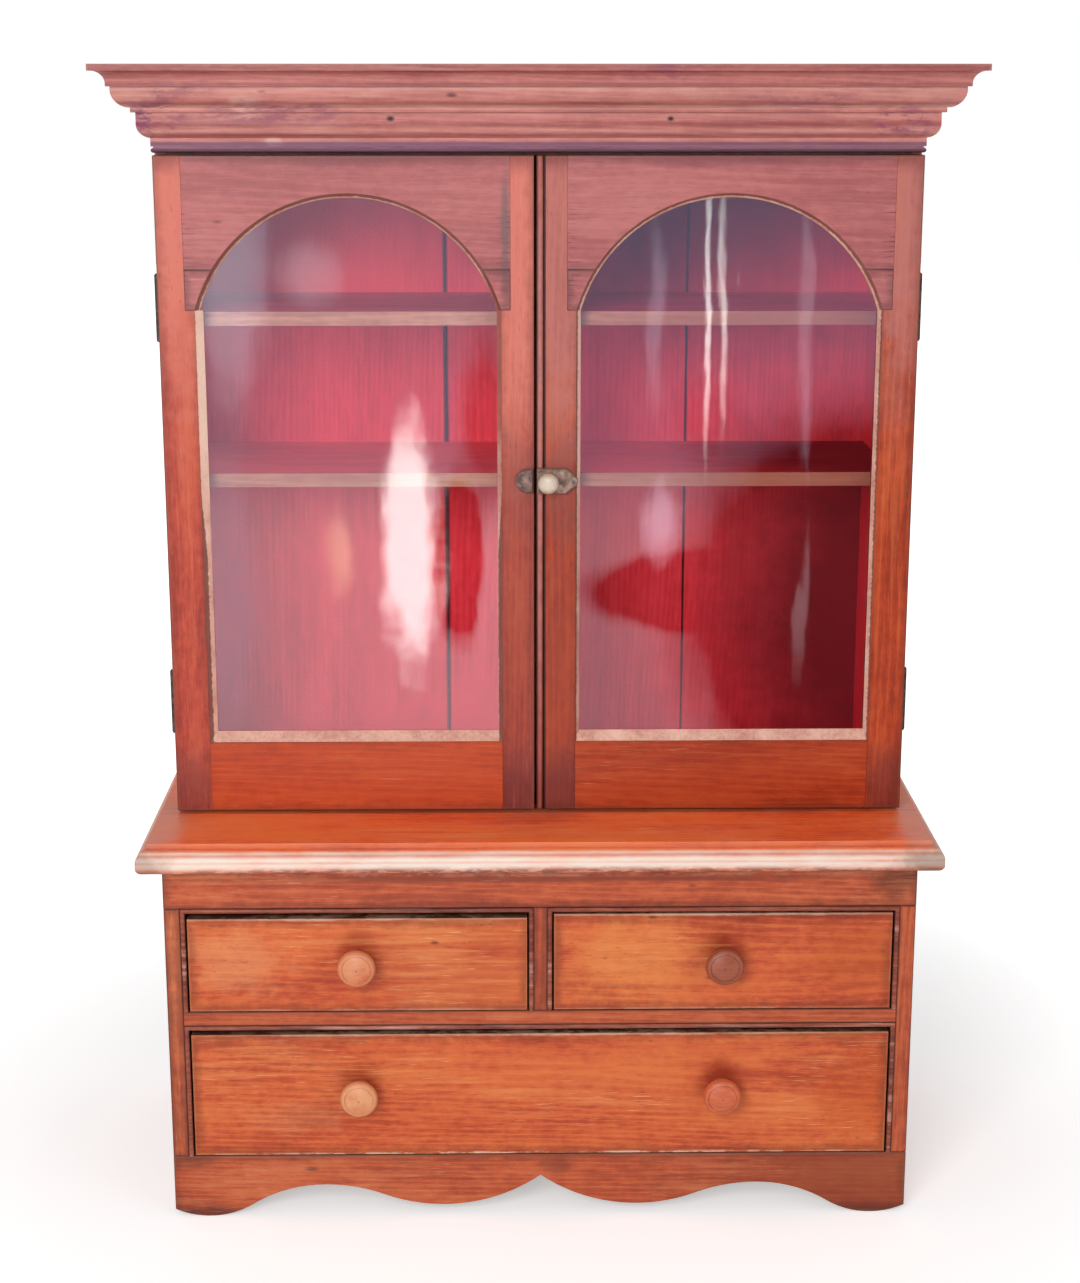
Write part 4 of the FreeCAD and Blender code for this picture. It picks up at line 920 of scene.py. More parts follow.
@dataclass(frozen=True)
class OldMetal:
    """Worn metal with a dull skin over it, which covers more of it as cover rises."""

    bright: Colour
    skin: Colour
    cover: float
    rough: float

    def material(self, name: str) -> Material:
        """Makes the metal's material: a dull skin in patches, thinner where noise is high.

        Args:
            name: The material's name.

        Returns:
            The material.
        """
        bench = MaterialBench(name)
        patch = bench.noise(bench.place, 120.0, 6.0, 0.65)
        fine = bench.noise(bench.place, 900.0)
        skin = bench.span(bench.line(fine, 0.2, patch), self.cover - 0.16, self.cover + 0.16, 1.0, 0.0)
        colour = bench.blend(skin, self.bright, self.skin)
        rough = bench.line(skin, 0.32, self.rough)
        metal = bench.line(skin, -0.75, 0.95)
        return bench.finish(bench.shader(colour, rough, patch, bump=0.2, deep=0.0004, metallic=metal))


IRON = OldMetal(bright=paint(158, 130, 112), skin=paint(106, 82, 70), cover=0.60, rough=0.42)
DULL_IRON = OldMetal(bright=paint(140, 110, 100), skin=paint(98, 74, 68), cover=0.62, rough=0.46)
BLACK_IRON = OldMetal(bright=paint(96, 80, 72), skin=paint(46, 36, 32), cover=0.62, rough=0.46)
BRASS = OldMetal(bright=paint(230, 214, 194), skin=paint(214, 198, 180), cover=0.66, rough=0.44)
STEEL = OldMetal(bright=paint(120, 110, 102), skin=paint(58, 42, 36), cover=0.62, rough=0.4)
PALE_STEEL = OldMetal(bright=paint(214, 204, 192), skin=paint(168, 148, 130), cover=0.42, rough=0.36)


class Surface:
    """Grids of points that are gathered into one mesh."""

    def __init__(self) -> None:
        """Starts empty."""
        self.points: list[np.ndarray] = []
        self.faces: list[np.ndarray] = []

    def grid(self, points: np.ndarray, flip: bool = False) -> None:
        """Adds a grid of points as quads.

        Args:
            points: An m by n by 3 array.
            flip: Whether the faces are turned over.
        """
        rows, columns = points.shape[:2]
        number = np.arange(rows * columns).reshape(rows, columns) + sum(map(len, self.points))
        corners = [number[:-1, :-1], number[1:, :-1], number[1:, 1:], number[:-1, 1:]]
        quads = np.stack(corners, axis=-1).reshape(-1, 4)
        self.points.append(points.reshape(-1, 3))
        self.faces.append(quads[:, ::-1] if flip else quads)

    def piece(self, name: str, body: str, slot: str, material: Material) -> None:
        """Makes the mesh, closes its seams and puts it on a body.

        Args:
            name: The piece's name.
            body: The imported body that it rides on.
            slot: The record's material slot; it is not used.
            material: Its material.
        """
        mesh = bpy.data.meshes.new(name)
        mesh.from_pydata(np.concatenate(self.points).tolist(), [], np.concatenate(self.faces).tolist())
        shell = bmesh.new()
        shell.from_mesh(mesh)
        bmesh.ops.remove_doubles(shell, verts=shell.verts, dist=1e-6)
        bmesh.ops.dissolve_degenerate(shell, edges=shell.edges, dist=1e-7)
        bmesh.ops.recalc_face_normals(shell, faces=shell.faces)
        shell.to_mesh(mesh)
        shell.free()
        mesh.materials.append(material)
        piece = bpy.data.objects.new(name, mesh)
        bpy.context.scene.collection.objects.link(piece)
        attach(piece, body)
        LOG.info("piece %s on %s: %d faces", name, body, len(mesh.polygons))


def upright_axes(normal: Point, turn: float) -> np.ndarray:
    """Three unit vectors, of which the last is the normal and the first two are turned about it.

    Args:
        normal: A direction along X, Y or Z.
        turn: The turn in radians.

    Returns:
        A 3 by 3 array with one vector in each row.
    """
    out = np.array(normal, float)
    side = np.cross(out, np.roll(np.abs(out), 1))
    first = side * math.cos(turn) + np.cross(out, side) * math.sin(turn)
    return np.stack([first, np.cross(out, first), out])


BACKWARD = (0.0, 1.0, 0.0)
FORWARD = (0.0, -1.0, 0.0)


def screw_on(name: str, body: str, places: list[Point], normal: Point, radius: float,
             turns: Sequence[float]) -> None:
    """Makes a piece of slotted screw heads.

    A square grid (s, t) is drawn onto a disc by x = s sqrt(1 - t t / 2), y = t sqrt(1 - s s / 2). Its height
    is a shallow dome, less the slot where |s| is small, and its border goes down to a skirt and a flat back.

    Args:
        name: The piece's name.
        body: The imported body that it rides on.
        places: The middle of each head, on the plate that it is let into.
        normal: The direction that the heads face.
        radius: The heads' radius.
        turns: The turn of each slot, in radians.
    """
    slot, slot_depth, dome_height, skirt = 0.16, 0.22, 0.16, -0.3
    half = np.array([slot - 0.02, slot + 0.02, 0.45, 0.72, 0.9, 1.0, 1.0])
    s = np.concatenate([-half[::-1], half])
    t = np.concatenate([[-1.0], np.linspace(-1.0, 1.0, 11), [1.0]])
    grid_s, grid_t = np.meshgrid(s, t, indexing="ij")
    flat_x = grid_s * np.sqrt(1 - grid_t ** 2 / 2)
    flat_y = grid_t * np.sqrt(1 - grid_s ** 2 / 2)
    height = dome_height * (1 - flat_x ** 2 - flat_y ** 2) - slot_depth * (np.abs(grid_s) < slot)
    height[[0, -1], :] = skirt
    height[:, [0, -1]] = skirt
    top = np.stack([flat_x, flat_y, height], axis=-1) * radius
    back = np.stack([flat_x, flat_y, np.full_like(height, skirt)], axis=-1) * radius
    heads = Surface()
    for place, turn in zip(places, turns):
        axes = upright_axes(normal, turn)
        heads.grid(top @ axes + np.array(place))
        heads.grid(back @ axes + np.array(place), flip=True)
    heads.piece(name, body, "old_iron", STEEL.material(name + "_iron"))


def nail_on(name: str, columns: np.ndarray, levels: np.ndarray, back_y: float, radius: float = 0.003) -> None:
    """Makes a piece of nail heads in a back.

    The section (r, h) of a low dome with a short shank is turned about its axis in ten steps.

    Args:
        name: The piece's name.
        columns, levels: The X and Z of the rows; there is a nail where two of them cross.
        back_y: The back's outer face.
        radius: The heads' radius.
    """
    outline = ((0.0, 0.26), (0.55, 0.22), (0.92, 0.08), (1.0, -0.1), (0.5, -0.6), (0.0, -0.6))
    section = np.array(outline) * radius
    angle = np.linspace(0.0, 2 * math.pi, 11)
    flat = section[:, None, :1] * np.stack([np.cos(angle), np.sin(angle)], axis=-1)
    head = np.concatenate([flat, np.repeat(section[:, None, 1:], len(angle), axis=1)], axis=-1)
    head = head @ upright_axes(BACKWARD, 0.0)
    nails = Surface()
    for z in levels:
        for x in columns:
            nails.grid(head + np.array([x, back_y, z]))
    nails.piece(name, "carcass", "old_iron", STEEL.material(name + "_iron"))


SHARP = {"waist_board", "upper_side_left", "upper_side_right", "left_door_hinge_stile",
         "right_door_hinge_stile", "base_back_boards", "upper_back_boards"}
MERGED = {"cornice_front", "cornice_left", "cornice_right", "right_door_meeting_stile", "left_drawer_front",
          "right_drawer_front"}


def dress(node: str, material: Material, ease: float = 0.0) -> None:
    """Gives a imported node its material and, if asked, eases its edges.

    Args:
        node: The node's name.
        material: Its new material.
        ease: Width of the rounding on its sharp edges. Boards with close detail stay sharp, and those with
            mouldings or bores have their flat faces merged first, so that the rounding never folds a face.
    """
    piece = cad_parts[node]
    for slot in piece.material_slots:
        slot.material = material
    if not piece.material_slots:
        piece.data.materials.append(material)
    if ease and node not in SHARP:
        weld = piece.modifiers.new("closed_seams", "WELD")
        weld.merge_threshold = 1e-6
        if node in MERGED:
            flat = piece.modifiers.new("merged_flats", "DECIMATE")
            flat.decimate_type = "DISSOLVE"
            flat.angle_limit = math.radians(0.2)
        bevel = piece.modifiers.new("eased_edges", "BEVEL")
        bevel.width = ease
        bevel.segments = 2
        bevel.limit_method = "ANGLE"
        bevel.angle_limit = math.radians(32)
        bevel.use_clamp_overlap = node in MERGED
        bevel.harden_normals = True
    LOG.info("dressed %s", node)


Finish = Union[StainedBoard, PaintedBoard, BareBoard]
SEED_STEP = 1.618


def dress_boards(boards: dict[str, Finish], ease: float, first_seed: float) -> None:
    """Dresses one board after another, each with a figure of its own.

    Args:
        boards: The finish of each node, by its name.
        ease: Width of the rounding on sharp edges.
        first_seed: The first board's seed; the next ones count on from it.
    """
    for step, (node, finish) in enumerate(boards.items()):
        dress(node, finish.material(node, first_seed + step * SEED_STEP), ease)


LAP_SHADE = paint(30, 18, 14)


@dataclass
class BaseCarcass:
    """The drawer base: its sides, front frame, apron, battens and back boards."""

    face_y: float = -0.1745
    bead_y: float = -0.1765
    back_y: float = 0.2105
    lap_seam_z: float = 0.2680
    nail_x: float = 0.442
    nail_z: tuple[float, float] = (0.092, 0.421)
    nail_rows: int = 8

    def dress(self) -> None:
        """Stains what shows and leaves the inner pieces bare."""
        dark = paint(78, 34, 30)
        front = self.face_y + 0.0005
        # Darker at the feet, with small dark marks; the broad darker patch at the right end is painted shade.
        apron_darkening = (
            Smudge((-0.41, -0.17, 0.0), (0.11, 0.05, 0.022), dark, 0.75),
            Smudge((0.41, -0.17, 0.0), (0.11, 0.05, 0.022), dark, 0.75),
            Smudge((0.44, -0.17, 0.05), (0.34, 0.1, 0.12), paint(118, 48, 26), 0.6),
            Smudge((-0.43, front, 0.074), (0.05, 0.02, 0.018), dark, 0.5),
            Smudge((-0.28, front, 0.062), (0.012, 0.01, 0.004), dark, 0.8),
            Smudge((0.02, front, 0.068), (0.03, 0.02, 0.02), dark, 0.45),
        )
        # Painted shadow under the waist's nose along the top rail, pale chips along the rail, and a dark
        # patch at its right end.
        nose_shadow_and_chips = (
            Smudge((0.0, front, 0.4355), (0.6, 0.05, 0.0065), paint(112, 52, 36), 0.7),
            Smudge((0.0, front, 0.4425), (0.9, 0.05, 0.0060), paint(214, 140, 112), 0.6, 0.4, Effect.CHIPPED),
            Smudge((0.425, front, 0.432), (0.045, 0.05, 0.03), paint(84, 34, 22), 0.75, 1.0),
        )
        lap = Smudge((0.0, self.back_y, self.lap_seam_z), (0.9, 0.02, 0.0022), LAP_SHADE, 1.0, 0.2)
        side = StainedBoard(Grain.UPRIGHT, Tint.RED, scuff=0.4)
        rail = {"grain": Grain.ACROSS, "tint": Tint.BROWN, "face_y": self.face_y}
        post = {"grain": Grain.UPRIGHT, "tint": Tint.BROWN, "face_y": self.face_y, "seam": 0.85, "wear": 0.0}
        boards: dict[str, Finish] = {
            "base_side_left": side,
            "base_side_right": side,
            "base_top_rail": StainedBoard(**rail, seam=0.85, wear=0.0, smudges=nose_shadow_and_chips),
            "base_stile_left": StainedBoard(**post, soil=0.5),
            "base_stile_right": StainedBoard(**post, soil=0.1, scuff=0.6),
            "base_mid_rail": StainedBoard(**rail, seam=0.85, wear=0.05, scuff=0.6, soil=0.15),
            "base_muntin": StainedBoard(**post),
            "base_apron": StainedBoard(**rail, seam=0.8, wear=0.1, soil=0.35, smudges=apron_darkening),
            "base_bottom_rail": BareBoard(Grain.ACROSS),
            "base_back_boards": BareBoard(Grain.ACROSS, dark=paint(86, 58, 42), body=paint(124, 90, 64),
                                          light=paint(152, 116, 84), smudges=(lap,)),
        }
        dress_boards(boards, 0.0008, 2.0)
        battens: dict[str, Finish] = {
            "drawer_beads": StainedBoard(Grain.ACROSS, Tint.BEAD, face_y=self.bead_y, wear=0.0, soil=0.0,
                                         scuff=0.7, scratch=0.6),
            "drawer_runners": BareBoard(Grain.DEEP),
            "drawer_guides": BareBoard(Grain.DEEP),
            "drawer_stops": BareBoard(Grain.ACROSS),
        }
        dress_boards(battens, 0.0, 31.0)

    def build(self) -> None:
        """Nails the back boards to the base sides."""
        columns = np.array([-self.nail_x, self.nail_x])
        nail_on("base_back_nails", columns, np.linspace(*self.nail_z, self.nail_rows), self.back_y)


@dataclass
class WaistBoard:
    """The moulded board between the base and the upper case.

    The bands give a rise above the board's foot, a share of bare wood and a share of soil; the soil under the
    nose and in the step below the top is painted shade.
    """

    foot_z: float = 0.451
    top_z: float = 0.486
    bands: Rows = (
        (0.0, 0.25, 0.30), (0.0022, 0.24, 0.30), (0.0054, 0.38, 0.15), (0.0081, 0.74, 0.0),
        (0.0110, 0.96, 0.0), (0.0130, 0.96, 0.0), (0.0146, 0.66, 0.0), (0.0170, 0.96, 0.0),
        (0.0189, 0.94, 0.0), (0.0221, 0.38, 0.50), (0.0231, 0.34, 0.50), (0.0249, 0.68, 0.0),
        (0.0259, 0.55, 0.0), (0.0273, 0.08, 0.10), (0.0291, 0.04, 0.45), (0.0303, 0.04, 0.40),
        (0.0340, 0.10, 0.35), (0.0348, 0.05, 0.0),
    )

    def dress(self) -> None:
        """Rubs the moulded edge down to pale wood and leaves the top orange."""
        faded = paint(206, 140, 118)
        chips = paint(112, 66, 50)
        smudges = (
            Smudge((-0.468, -0.12, self.top_z), (0.055, 0.25, 0.02), faded, 0.6, 1.2),
            Smudge((0.468, -0.12, self.top_z), (0.055, 0.25, 0.02), faded, 0.6, 1.2),
            # A thin dark line along the top where the doors stand: painted shadow at their foot.
            Smudge((0.0, -0.0745, self.top_z), (0.6, 0.008, 0.01), paint(120, 40, 22), 0.6),
        )
        marks = (
            Smudge((0.0, -0.2, self.foot_z), (0.9, 0.4, 0.0115), chips, 0.75, 0.3, Effect.CHIPPED),
            # Darker patches at both ends of the nose: painted shade at its corners.
            Smudge((-0.466, -0.2, 0.462), (0.040, 0.1, 0.022), paint(116, 80, 62), 0.45, 1.2),
            Smudge((0.460, -0.2, 0.462), (0.060, 0.1, 0.022), paint(104, 76, 60), 0.55, 1.2),
        )
        board = StainedBoard(Grain.ACROSS, Tint.WAIST, wear=0.0, soil=0.1, scuff=0.5, gloss=0.4,
                             smudges=smudges, bands=bands_above(self.foot_z, self.bands), marks=marks)
        dress_boards({"waist_board": board}, 0.0008, 44.0)


@dataclass
class UpperCase:
    """The glazed upper case: sides, shelves, top, bottom and back boards.

    A back seam is the X and the half width of a dark joint as the inside shows it.
    """

    inner_x: float = 0.4222
    shelf_front_y: float = -0.0389
    back_y: float = 0.2105
    back_inside_y: float = 0.2
    back_middle_z: float = 0.88
    back_seams: Rows = ((-0.1162, 0.0050), (0.1918, 0.0026))
    lap_seams: tuple[float, float] = (-0.1090, 0.1990)
    nail_x: float = 0.40
    nail_columns: int = 9
    nail_levels: tuple[float, ...] = (0.497, 0.89, 1.082, 1.262)

    def dress(self) -> None:
        """Stains the case outside and paints it crimson inside."""
        shade = paint(112, 14, 24)
        edge_shade = paint(150, 72, 58)
        y = self.back_inside_y
        # Painted shade on the lower right and upper right of the back, a painted pool of light at its upper
        # left, and dark joints at the back seams.
        shades = (
            Smudge((0.46, y, 0.66), (0.34, 0.1, 0.44), shade, 0.95, 0.3),
            Smudge((0.22, y, 1.24), (0.32, 0.1, 0.30), shade, 0.78, 0.3),
            Smudge((-0.26, y, 1.15), (0.20, 0.1, 0.12), paint(255, 74, 84), 0.5, 0.8),
            *(Smudge((x, y, self.back_middle_z), (wide, 0.1, 0.8), paint(58, 8, 20), 0.95, 0.2)
              for x, wide in self.back_seams),
        )
        laps = tuple(Smudge((x, self.back_y, self.back_middle_z), (0.0022, 0.02, 0.9), LAP_SHADE, 1.0, 0.2)
                     for x in self.lap_seams)
        shelf_shade = Smudge((0.40, 0.08, 0.8985), (0.32, 0.3, 0.05), shade, 0.95, 0.3)
        edge = Smudge((0.34, self.shelf_front_y, 0.98), (0.46, 0.2, 0.5), edge_shade, 0.75, 0.2)
        low_edge = Smudge((-0.26, self.shelf_front_y, 0.89), (0.30, 0.2, 0.1), edge_shade, 0.3, 0.4)
        side = StainedBoard(Grain.UPRIGHT, Tint.RED, scuff=0.4, inside_x=self.inner_x)
        shelf = {"grain": Grain.ACROSS, "bare_front": self.shelf_front_y}
        boards: dict[str, Finish] = {
            "upper_side_left": side,
            "upper_side_right": side,
            "upper_back_boards": PaintedBoard(Grain.UPRIGHT, bare_back=self.back_y - 0.0006, smudges=shades,
                                              bare_smudges=laps),
            "upper_bottom_board": PaintedBoard(Grain.ACROSS),
            "shelf_lower": PaintedBoard(**shelf, smudges=(shelf_shade,), bare_smudges=(edge, low_edge)),
            "shelf_upper": PaintedBoard(**shelf, bare_smudges=(edge,)),
            "upper_top_board": BareBoard(Grain.ACROSS),
        }
        dress_boards(boards, 0.0006, 52.0)

    def build(self) -> None:
        """Nails the back boards to the top, the shelves and the bottom."""
        columns = np.linspace(-self.nail_x, self.nail_x, self.nail_columns)
        nail_on("upper_back_nails", columns, np.array(self.nail_levels), self.back_y)


@dataclass
class Cornice:
    """The stepped cornice: a front and two returns.

    The bands give a rise above the cornice's foot, a share of bare wood and a share of soil: its quirks are
    dark with painted shade, and its rounds are pale as rubbed wood and painted highlight. A blot is its X and
    Z, its half width and half height, and its strength.
    """

    foot_z: float = 1.273
    bands: Rows = (
        (0.0, 0.0, 1.0), (0.0036, 0.0, 1.0), (0.0050, 0.0, 0.15), (0.0064, 0.0, 0.08),
        (0.0082, 0.0, 0.75), (0.0096, 0.0, 0.90), (0.0114, 0.0, 0.60), (0.0130, 0.12, 0.0),
        (0.0160, 0.18, 0.0), (0.0178, 0.08, 0.0), (0.0198, 0.0, 0.10), (0.0238, 0.28, 0.0),
        (0.0258, 0.26, 0.0), (0.0280, 0.05, 0.0), (0.0306, 0.0, 0.30), (0.0322, 0.0, 0.30),
        (0.0350, 0.0, 0.05), (0.0370, 0.10, 0.0), (0.0437, 0.20, 0.0), (0.0454, 0.0, 0.11),
        (0.0480, 0.15, 0.0), (0.0514, 0.75, 0.0), (0.0540, 0.0, 0.10), (0.0556, 0.0, 0.12),
        (0.0586, 0.18, 0.0), (0.0675, 0.18, 0.0), (0.0710, 0.40, 0.0), (0.0746, 0.0, 0.36),
        (0.0764, 0.0, 0.36), (0.0794, 0.10, 0.0), (0.0906, 0.0, 0.08), (0.0980, 0.0, 0.28),
    )
    blots: Rows = (
        (-0.435, 1.312, 0.050, 0.030, 0.95), (-0.30, 1.318, 0.110, 0.020, 0.60),
        (-0.12, 1.279, 0.130, 0.010, 0.65), (0.14, 1.362, 0.070, 0.012, 0.55),
        (0.415, 1.308, 0.050, 0.026, 0.80), (-0.40, 1.345, 0.060, 0.014, 0.45),
        (0.30, 1.330, 0.100, 0.014, 0.40),
    )

    def dress(self) -> None:
        """Gives the mouldings their pale tint and soil, and paints shade in their quirks."""
        hole = paint(52, 24, 26)
        plum = paint(128, 62, 90)
        faded = (
            Smudge((-0.33, -0.1, 1.325), (0.03, 0.05, 0.02), paint(226, 178, 160), 0.45, 1.4),
            Smudge((-0.30, -0.08, 1.285), (0.014, 0.03, 0.006), paint(238, 196, 180), 0.7, 1.4),
        )
        marks = (
            *(Smudge((x, -0.1, z), (wide, 0.1, tall), plum, strength, 1.2, Effect.CHIPPED)
              for x, z, wide, tall, strength in self.blots),
            Smudge((0.0, -0.08, self.foot_z + 0.0055), (3.0, 0.3, 0.010), paint(140, 110, 150), 0.35),
            # A dark line along the cornice's foot: painted shadow where it overhangs the doors.
            Smudge((0.0, -0.08, self.foot_z), (3.0, 0.3, 0.0048), paint(58, 14, 38), 0.75, 0.5),
            Smudge((-0.168, -0.093, 1.311), (0.0065, 0.03, 0.0045), hole, 1.0, 0.3),
            Smudge((-0.098, -0.105, 1.337), (0.010, 0.03, 0.004), hole, 0.7, 0.8),
            Smudge((0.148, -0.093, 1.311), (0.0055, 0.03, 0.004), hole, 1.0, 0.3),
        )
        # The pale tint and the dust on up-facing faces also paint the cool light that falls on the top.
        look = {"tint": Tint.PALE, "wear": 0.2, "scuff": 0.6, "soil": 0.2, "dust": 0.35,
                "bands": bands_above(self.foot_z, self.bands)}
        front = StainedBoard(Grain.ACROSS, **look, smudges=faded, marks=marks)
        side = StainedBoard(Grain.DEEP, **look)
        dress_boards({"cornice_front": front, "cornice_left": side, "cornice_right": side}, 0.0005, 63.0)
        dress_boards({"cornice_blocks": BareBoard(Grain.ACROSS)}, 0.0, 69.0)


class Hand(Enum):
    """Which side a door hangs on, as the sign of its hinges' X."""

    LEFT = -1
    RIGHT = 1


@dataclass
class GlazedDoor:
    """One arched door with its pane, putty and hinge leaves."""

    hand: Hand
    screw_x: float = 0.432
    hinge_levels: tuple[float, float] = (0.622, 1.096)
    screw_steps: tuple[float, ...] = (-0.028, 0.0, 0.028)
    screw_radius: float = 0.0034
    face_y: float = -0.0745
    back_y: float = -0.0545
    case_y: float = -0.0535
    hinge_stile_x: float = 0.42
    meeting_stile_x: float = 0.025
    spring_z: float = 1.0945
    strip_x: tuple[float, float] = (-0.0066, -0.0039)
    strip_y: tuple[float, float] = (-0.0590, -0.0560)
    strip_z: tuple[float, float] = (0.4905, 1.2690)

    @property
    def name(self) -> str:
        """The body that the door is."""
        return self.hand.name.lower() + "_door"

    @property
    def left(self) -> bool:
        """Whether it is the left door."""
        return self.hand is Hand.LEFT

    def dress(self) -> None:
        """Stains the frame, glazes it and blackens its hinges."""
        side = self.hand.value
        head, head_side = self.head_smudges()
        tint = Tint.ROSE if self.left else Tint.RED
        even = paint(192, 74, 34) if self.left else paint(160, 54, 14)
        rail_shade = Smudge((side * 0.2, self.face_y, 0.53), (0.4, 0.03, 0.1), even, 0.5)
        look = {"seam": 0.75, "face_y": self.face_y, "wear": 0.06}
        hinge_stile, meeting_stile = self.stile_smudges()
        boards: dict[str, Finish] = {
            "hinge_stile": StainedBoard(Grain.UPRIGHT, tint, **look, soil=0.3, smudges=hinge_stile),
            "meeting_stile": StainedBoard(Grain.UPRIGHT, tint, **look, soil=0.35, smudges=meeting_stile),
            "bottom_rail": StainedBoard(Grain.ACROSS, Tint.RED, **look, soil=0.3, scuff=0.25, fleck=0.15,
                                        gloss=0.36, smudges=(rail_shade,)),
            # The head and ears take the pinker top-lit tint: painted cool light from above.
            "head": StainedBoard(Grain.ACROSS, Tint.FADED, **look, soil=0.25, scuff=0.20, fleck=0.22,
                                 scratch=0.12, smudges=head_side + head),
            "ears": StainedBoard(Grain.ACROSS, Tint.FADED, **look, soil=0.45, smudges=head_side),
        }
        named = {self.name + "_" + key: board for key, board in boards.items()}
        dress_boards(named, 0.0007, 80.0 + 11.0 * side)
        dress(self.name + "_glass", OldGlass().material(self.name + "_pane", 3.0 + side))
        # The putty's reaches: stain at the foot and top of the sides, painted shade round the arch, then
        # soil.
        stains = (0.0044, 0.0, 0.0034, 0.85) if self.left else (0.0014, 0.0014, 0.0028)
        dress(self.name + "_putty", Putty(self.spring_z, *stains).material(self.name + "_putty"))
        dress(self.name + "_hinge_leaves", BLACK_IRON.material(self.name + "_hinge_iron"))

    def stile_smudges(self) -> tuple[Smudges, Smudges]:
        """Makes the stiles paler towards the top as painted light from above, darker along their tops as
        painted shadow under the cornice, and darker at the foot and where hands go.

        Returns:
            The patches of the hinge stile and those of the meeting stile.
        """
        side, face = self.hand.value, self.face_y
        x = side * self.hinge_stile_x
        meet_x = side * self.meeting_stile_x
        dark = paint(88, 38, 40)
        # Paler towards the top of each stile: painted cool light from above.
        painted_top_light = paint(214, 122, 107) if self.left else paint(184, 118, 112)
        # Painted shadow along the tops of the stiles, under the cornice.
        cornice_shadow = Smudge((side * 0.22, face, 1.272), (0.6, 0.03, 0.032), paint(132, 62, 62), 0.55)
        hinge_stile = (
            Smudge((x, face, 1.26), (0.06, 0.03, 0.38), painted_top_light, 0.75),
            Smudge((x, face, 0.515), (0.04, 0.03, 0.075), dark, 0.55),
            cornice_shadow,
        )
        meeting_stile = (
            Smudge((meet_x, face, 1.20), (0.06, 0.03, 0.46), painted_top_light, 0.85 if self.left else 0.7),
            Smudge((meet_x, face, 0.62), (0.07, 0.03, 0.36), paint(140, 62, 48), 0.5),
            Smudge((meet_x, face, 0.51), (0.05, 0.03, 0.075), dark, 0.6),
            Smudge((meet_x, face, 0.885), (0.05, 0.03, 0.11), dark, 0.35),
            cornice_shadow,
        )
        bead = Smudge((0.0005, face, 0.88), (0.0042, 0.006, 0.6), paint(206, 146, 140), 0.75, 0.3)
        return hinge_stile, meeting_stile if self.left else meeting_stile + (bead,)

    def head_smudges(self) -> tuple[Smudges, Smudges]:
        """Paints shadow along the head's crown under the cornice, and darkens the saw-marked ends and cracks
        that the head and its ears share.

        Returns:
            The patches of the head alone and those of head and ears.
        """
        face = self.face_y
        low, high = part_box(self.name + "_head")
        ear_low, ear_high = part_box(self.name + "_ears")
        # Painted shadow along the head's crown, under the cornice.
        cornice_shadow = Smudge(((low.x + high.x) / 2, face, 1.268), (0.26, 0.02, 0.016), paint(104, 54, 62), 0.5)
        shared = (
            *(Smudge((x, face, 1.17), (0.045, 0.02, 0.12), paint(84, 40, 44), 0.9, 0.5, Effect.SAWN)
              for x in (low.x, high.x)),
            *(Smudge((x, face, ear_high.z), (0.034, 0.02, 0.0016), paint(50, 22, 22), 0.9, 0.25)
              for x in (ear_low.x, ear_high.x)),
        )
        stain = Smudge((-0.039, face, 1.18), (0.008, 0.02, 0.10), paint(104, 88, 90), 0.7, 0.9)
        return (cornice_shadow,), shared + (stain,) if self.left else shared

    def build(self) -> None:
        """Screws each hinge leaf to the door and to the case, with three heads in a row."""
        x = self.hand.value * self.screw_x
        levels = [z + step for z in self.hinge_levels for step in self.screw_steps]
        turns = [0.4 + 1.7 * step for step in range(len(levels))]
        on_door = [(x, self.back_y, z) for z in levels]
        on_case = [(x, self.case_y, z) for z in levels]
        screw_on(self.name + "_hinge_screws", self.name, on_door, BACKWARD, self.screw_radius, turns)
        if self.left:
            self.strip()
        name = "case_" + self.hand.name.lower() + "_hinge_screws"
        screw_on(name, "carcass", on_case, FORWARD, self.screw_radius, turns[::-1])

    def strip(self) -> None:
        """Closes the gap between the doors with a dark cloth strip: a rounded section drawn along Z.

        The section is x = a sgn(cos t) |cos t|^0.5, y = b sgn(sin t) |sin t|^0.5, a soft-cornered rectangle.
        """
        angle = np.linspace(0.0, 2 * math.pi, 25)
        low, high = self.strip_z
        level = np.array([low, *np.linspace(low, high, 25), high])[:, None]
        size = np.array([0.0, *np.ones(25), 0.0])[:, None]
        grids = []
        for (start, end), wave in ((self.strip_x, np.cos(angle)), (self.strip_y, np.sin(angle))):
            grids.append((start + end) / 2 + (end - start) / 2 * np.sign(wave) * np.sqrt(np.abs(wave)) * size)
        felt = Surface()
        felt.grid(np.stack([*grids, np.broadcast_to(level, grids[0].shape)], axis=-1))
        felt.piece("left_door_meeting_strip", self.name, "stained_wood", Felt().material("meeting_felt"))


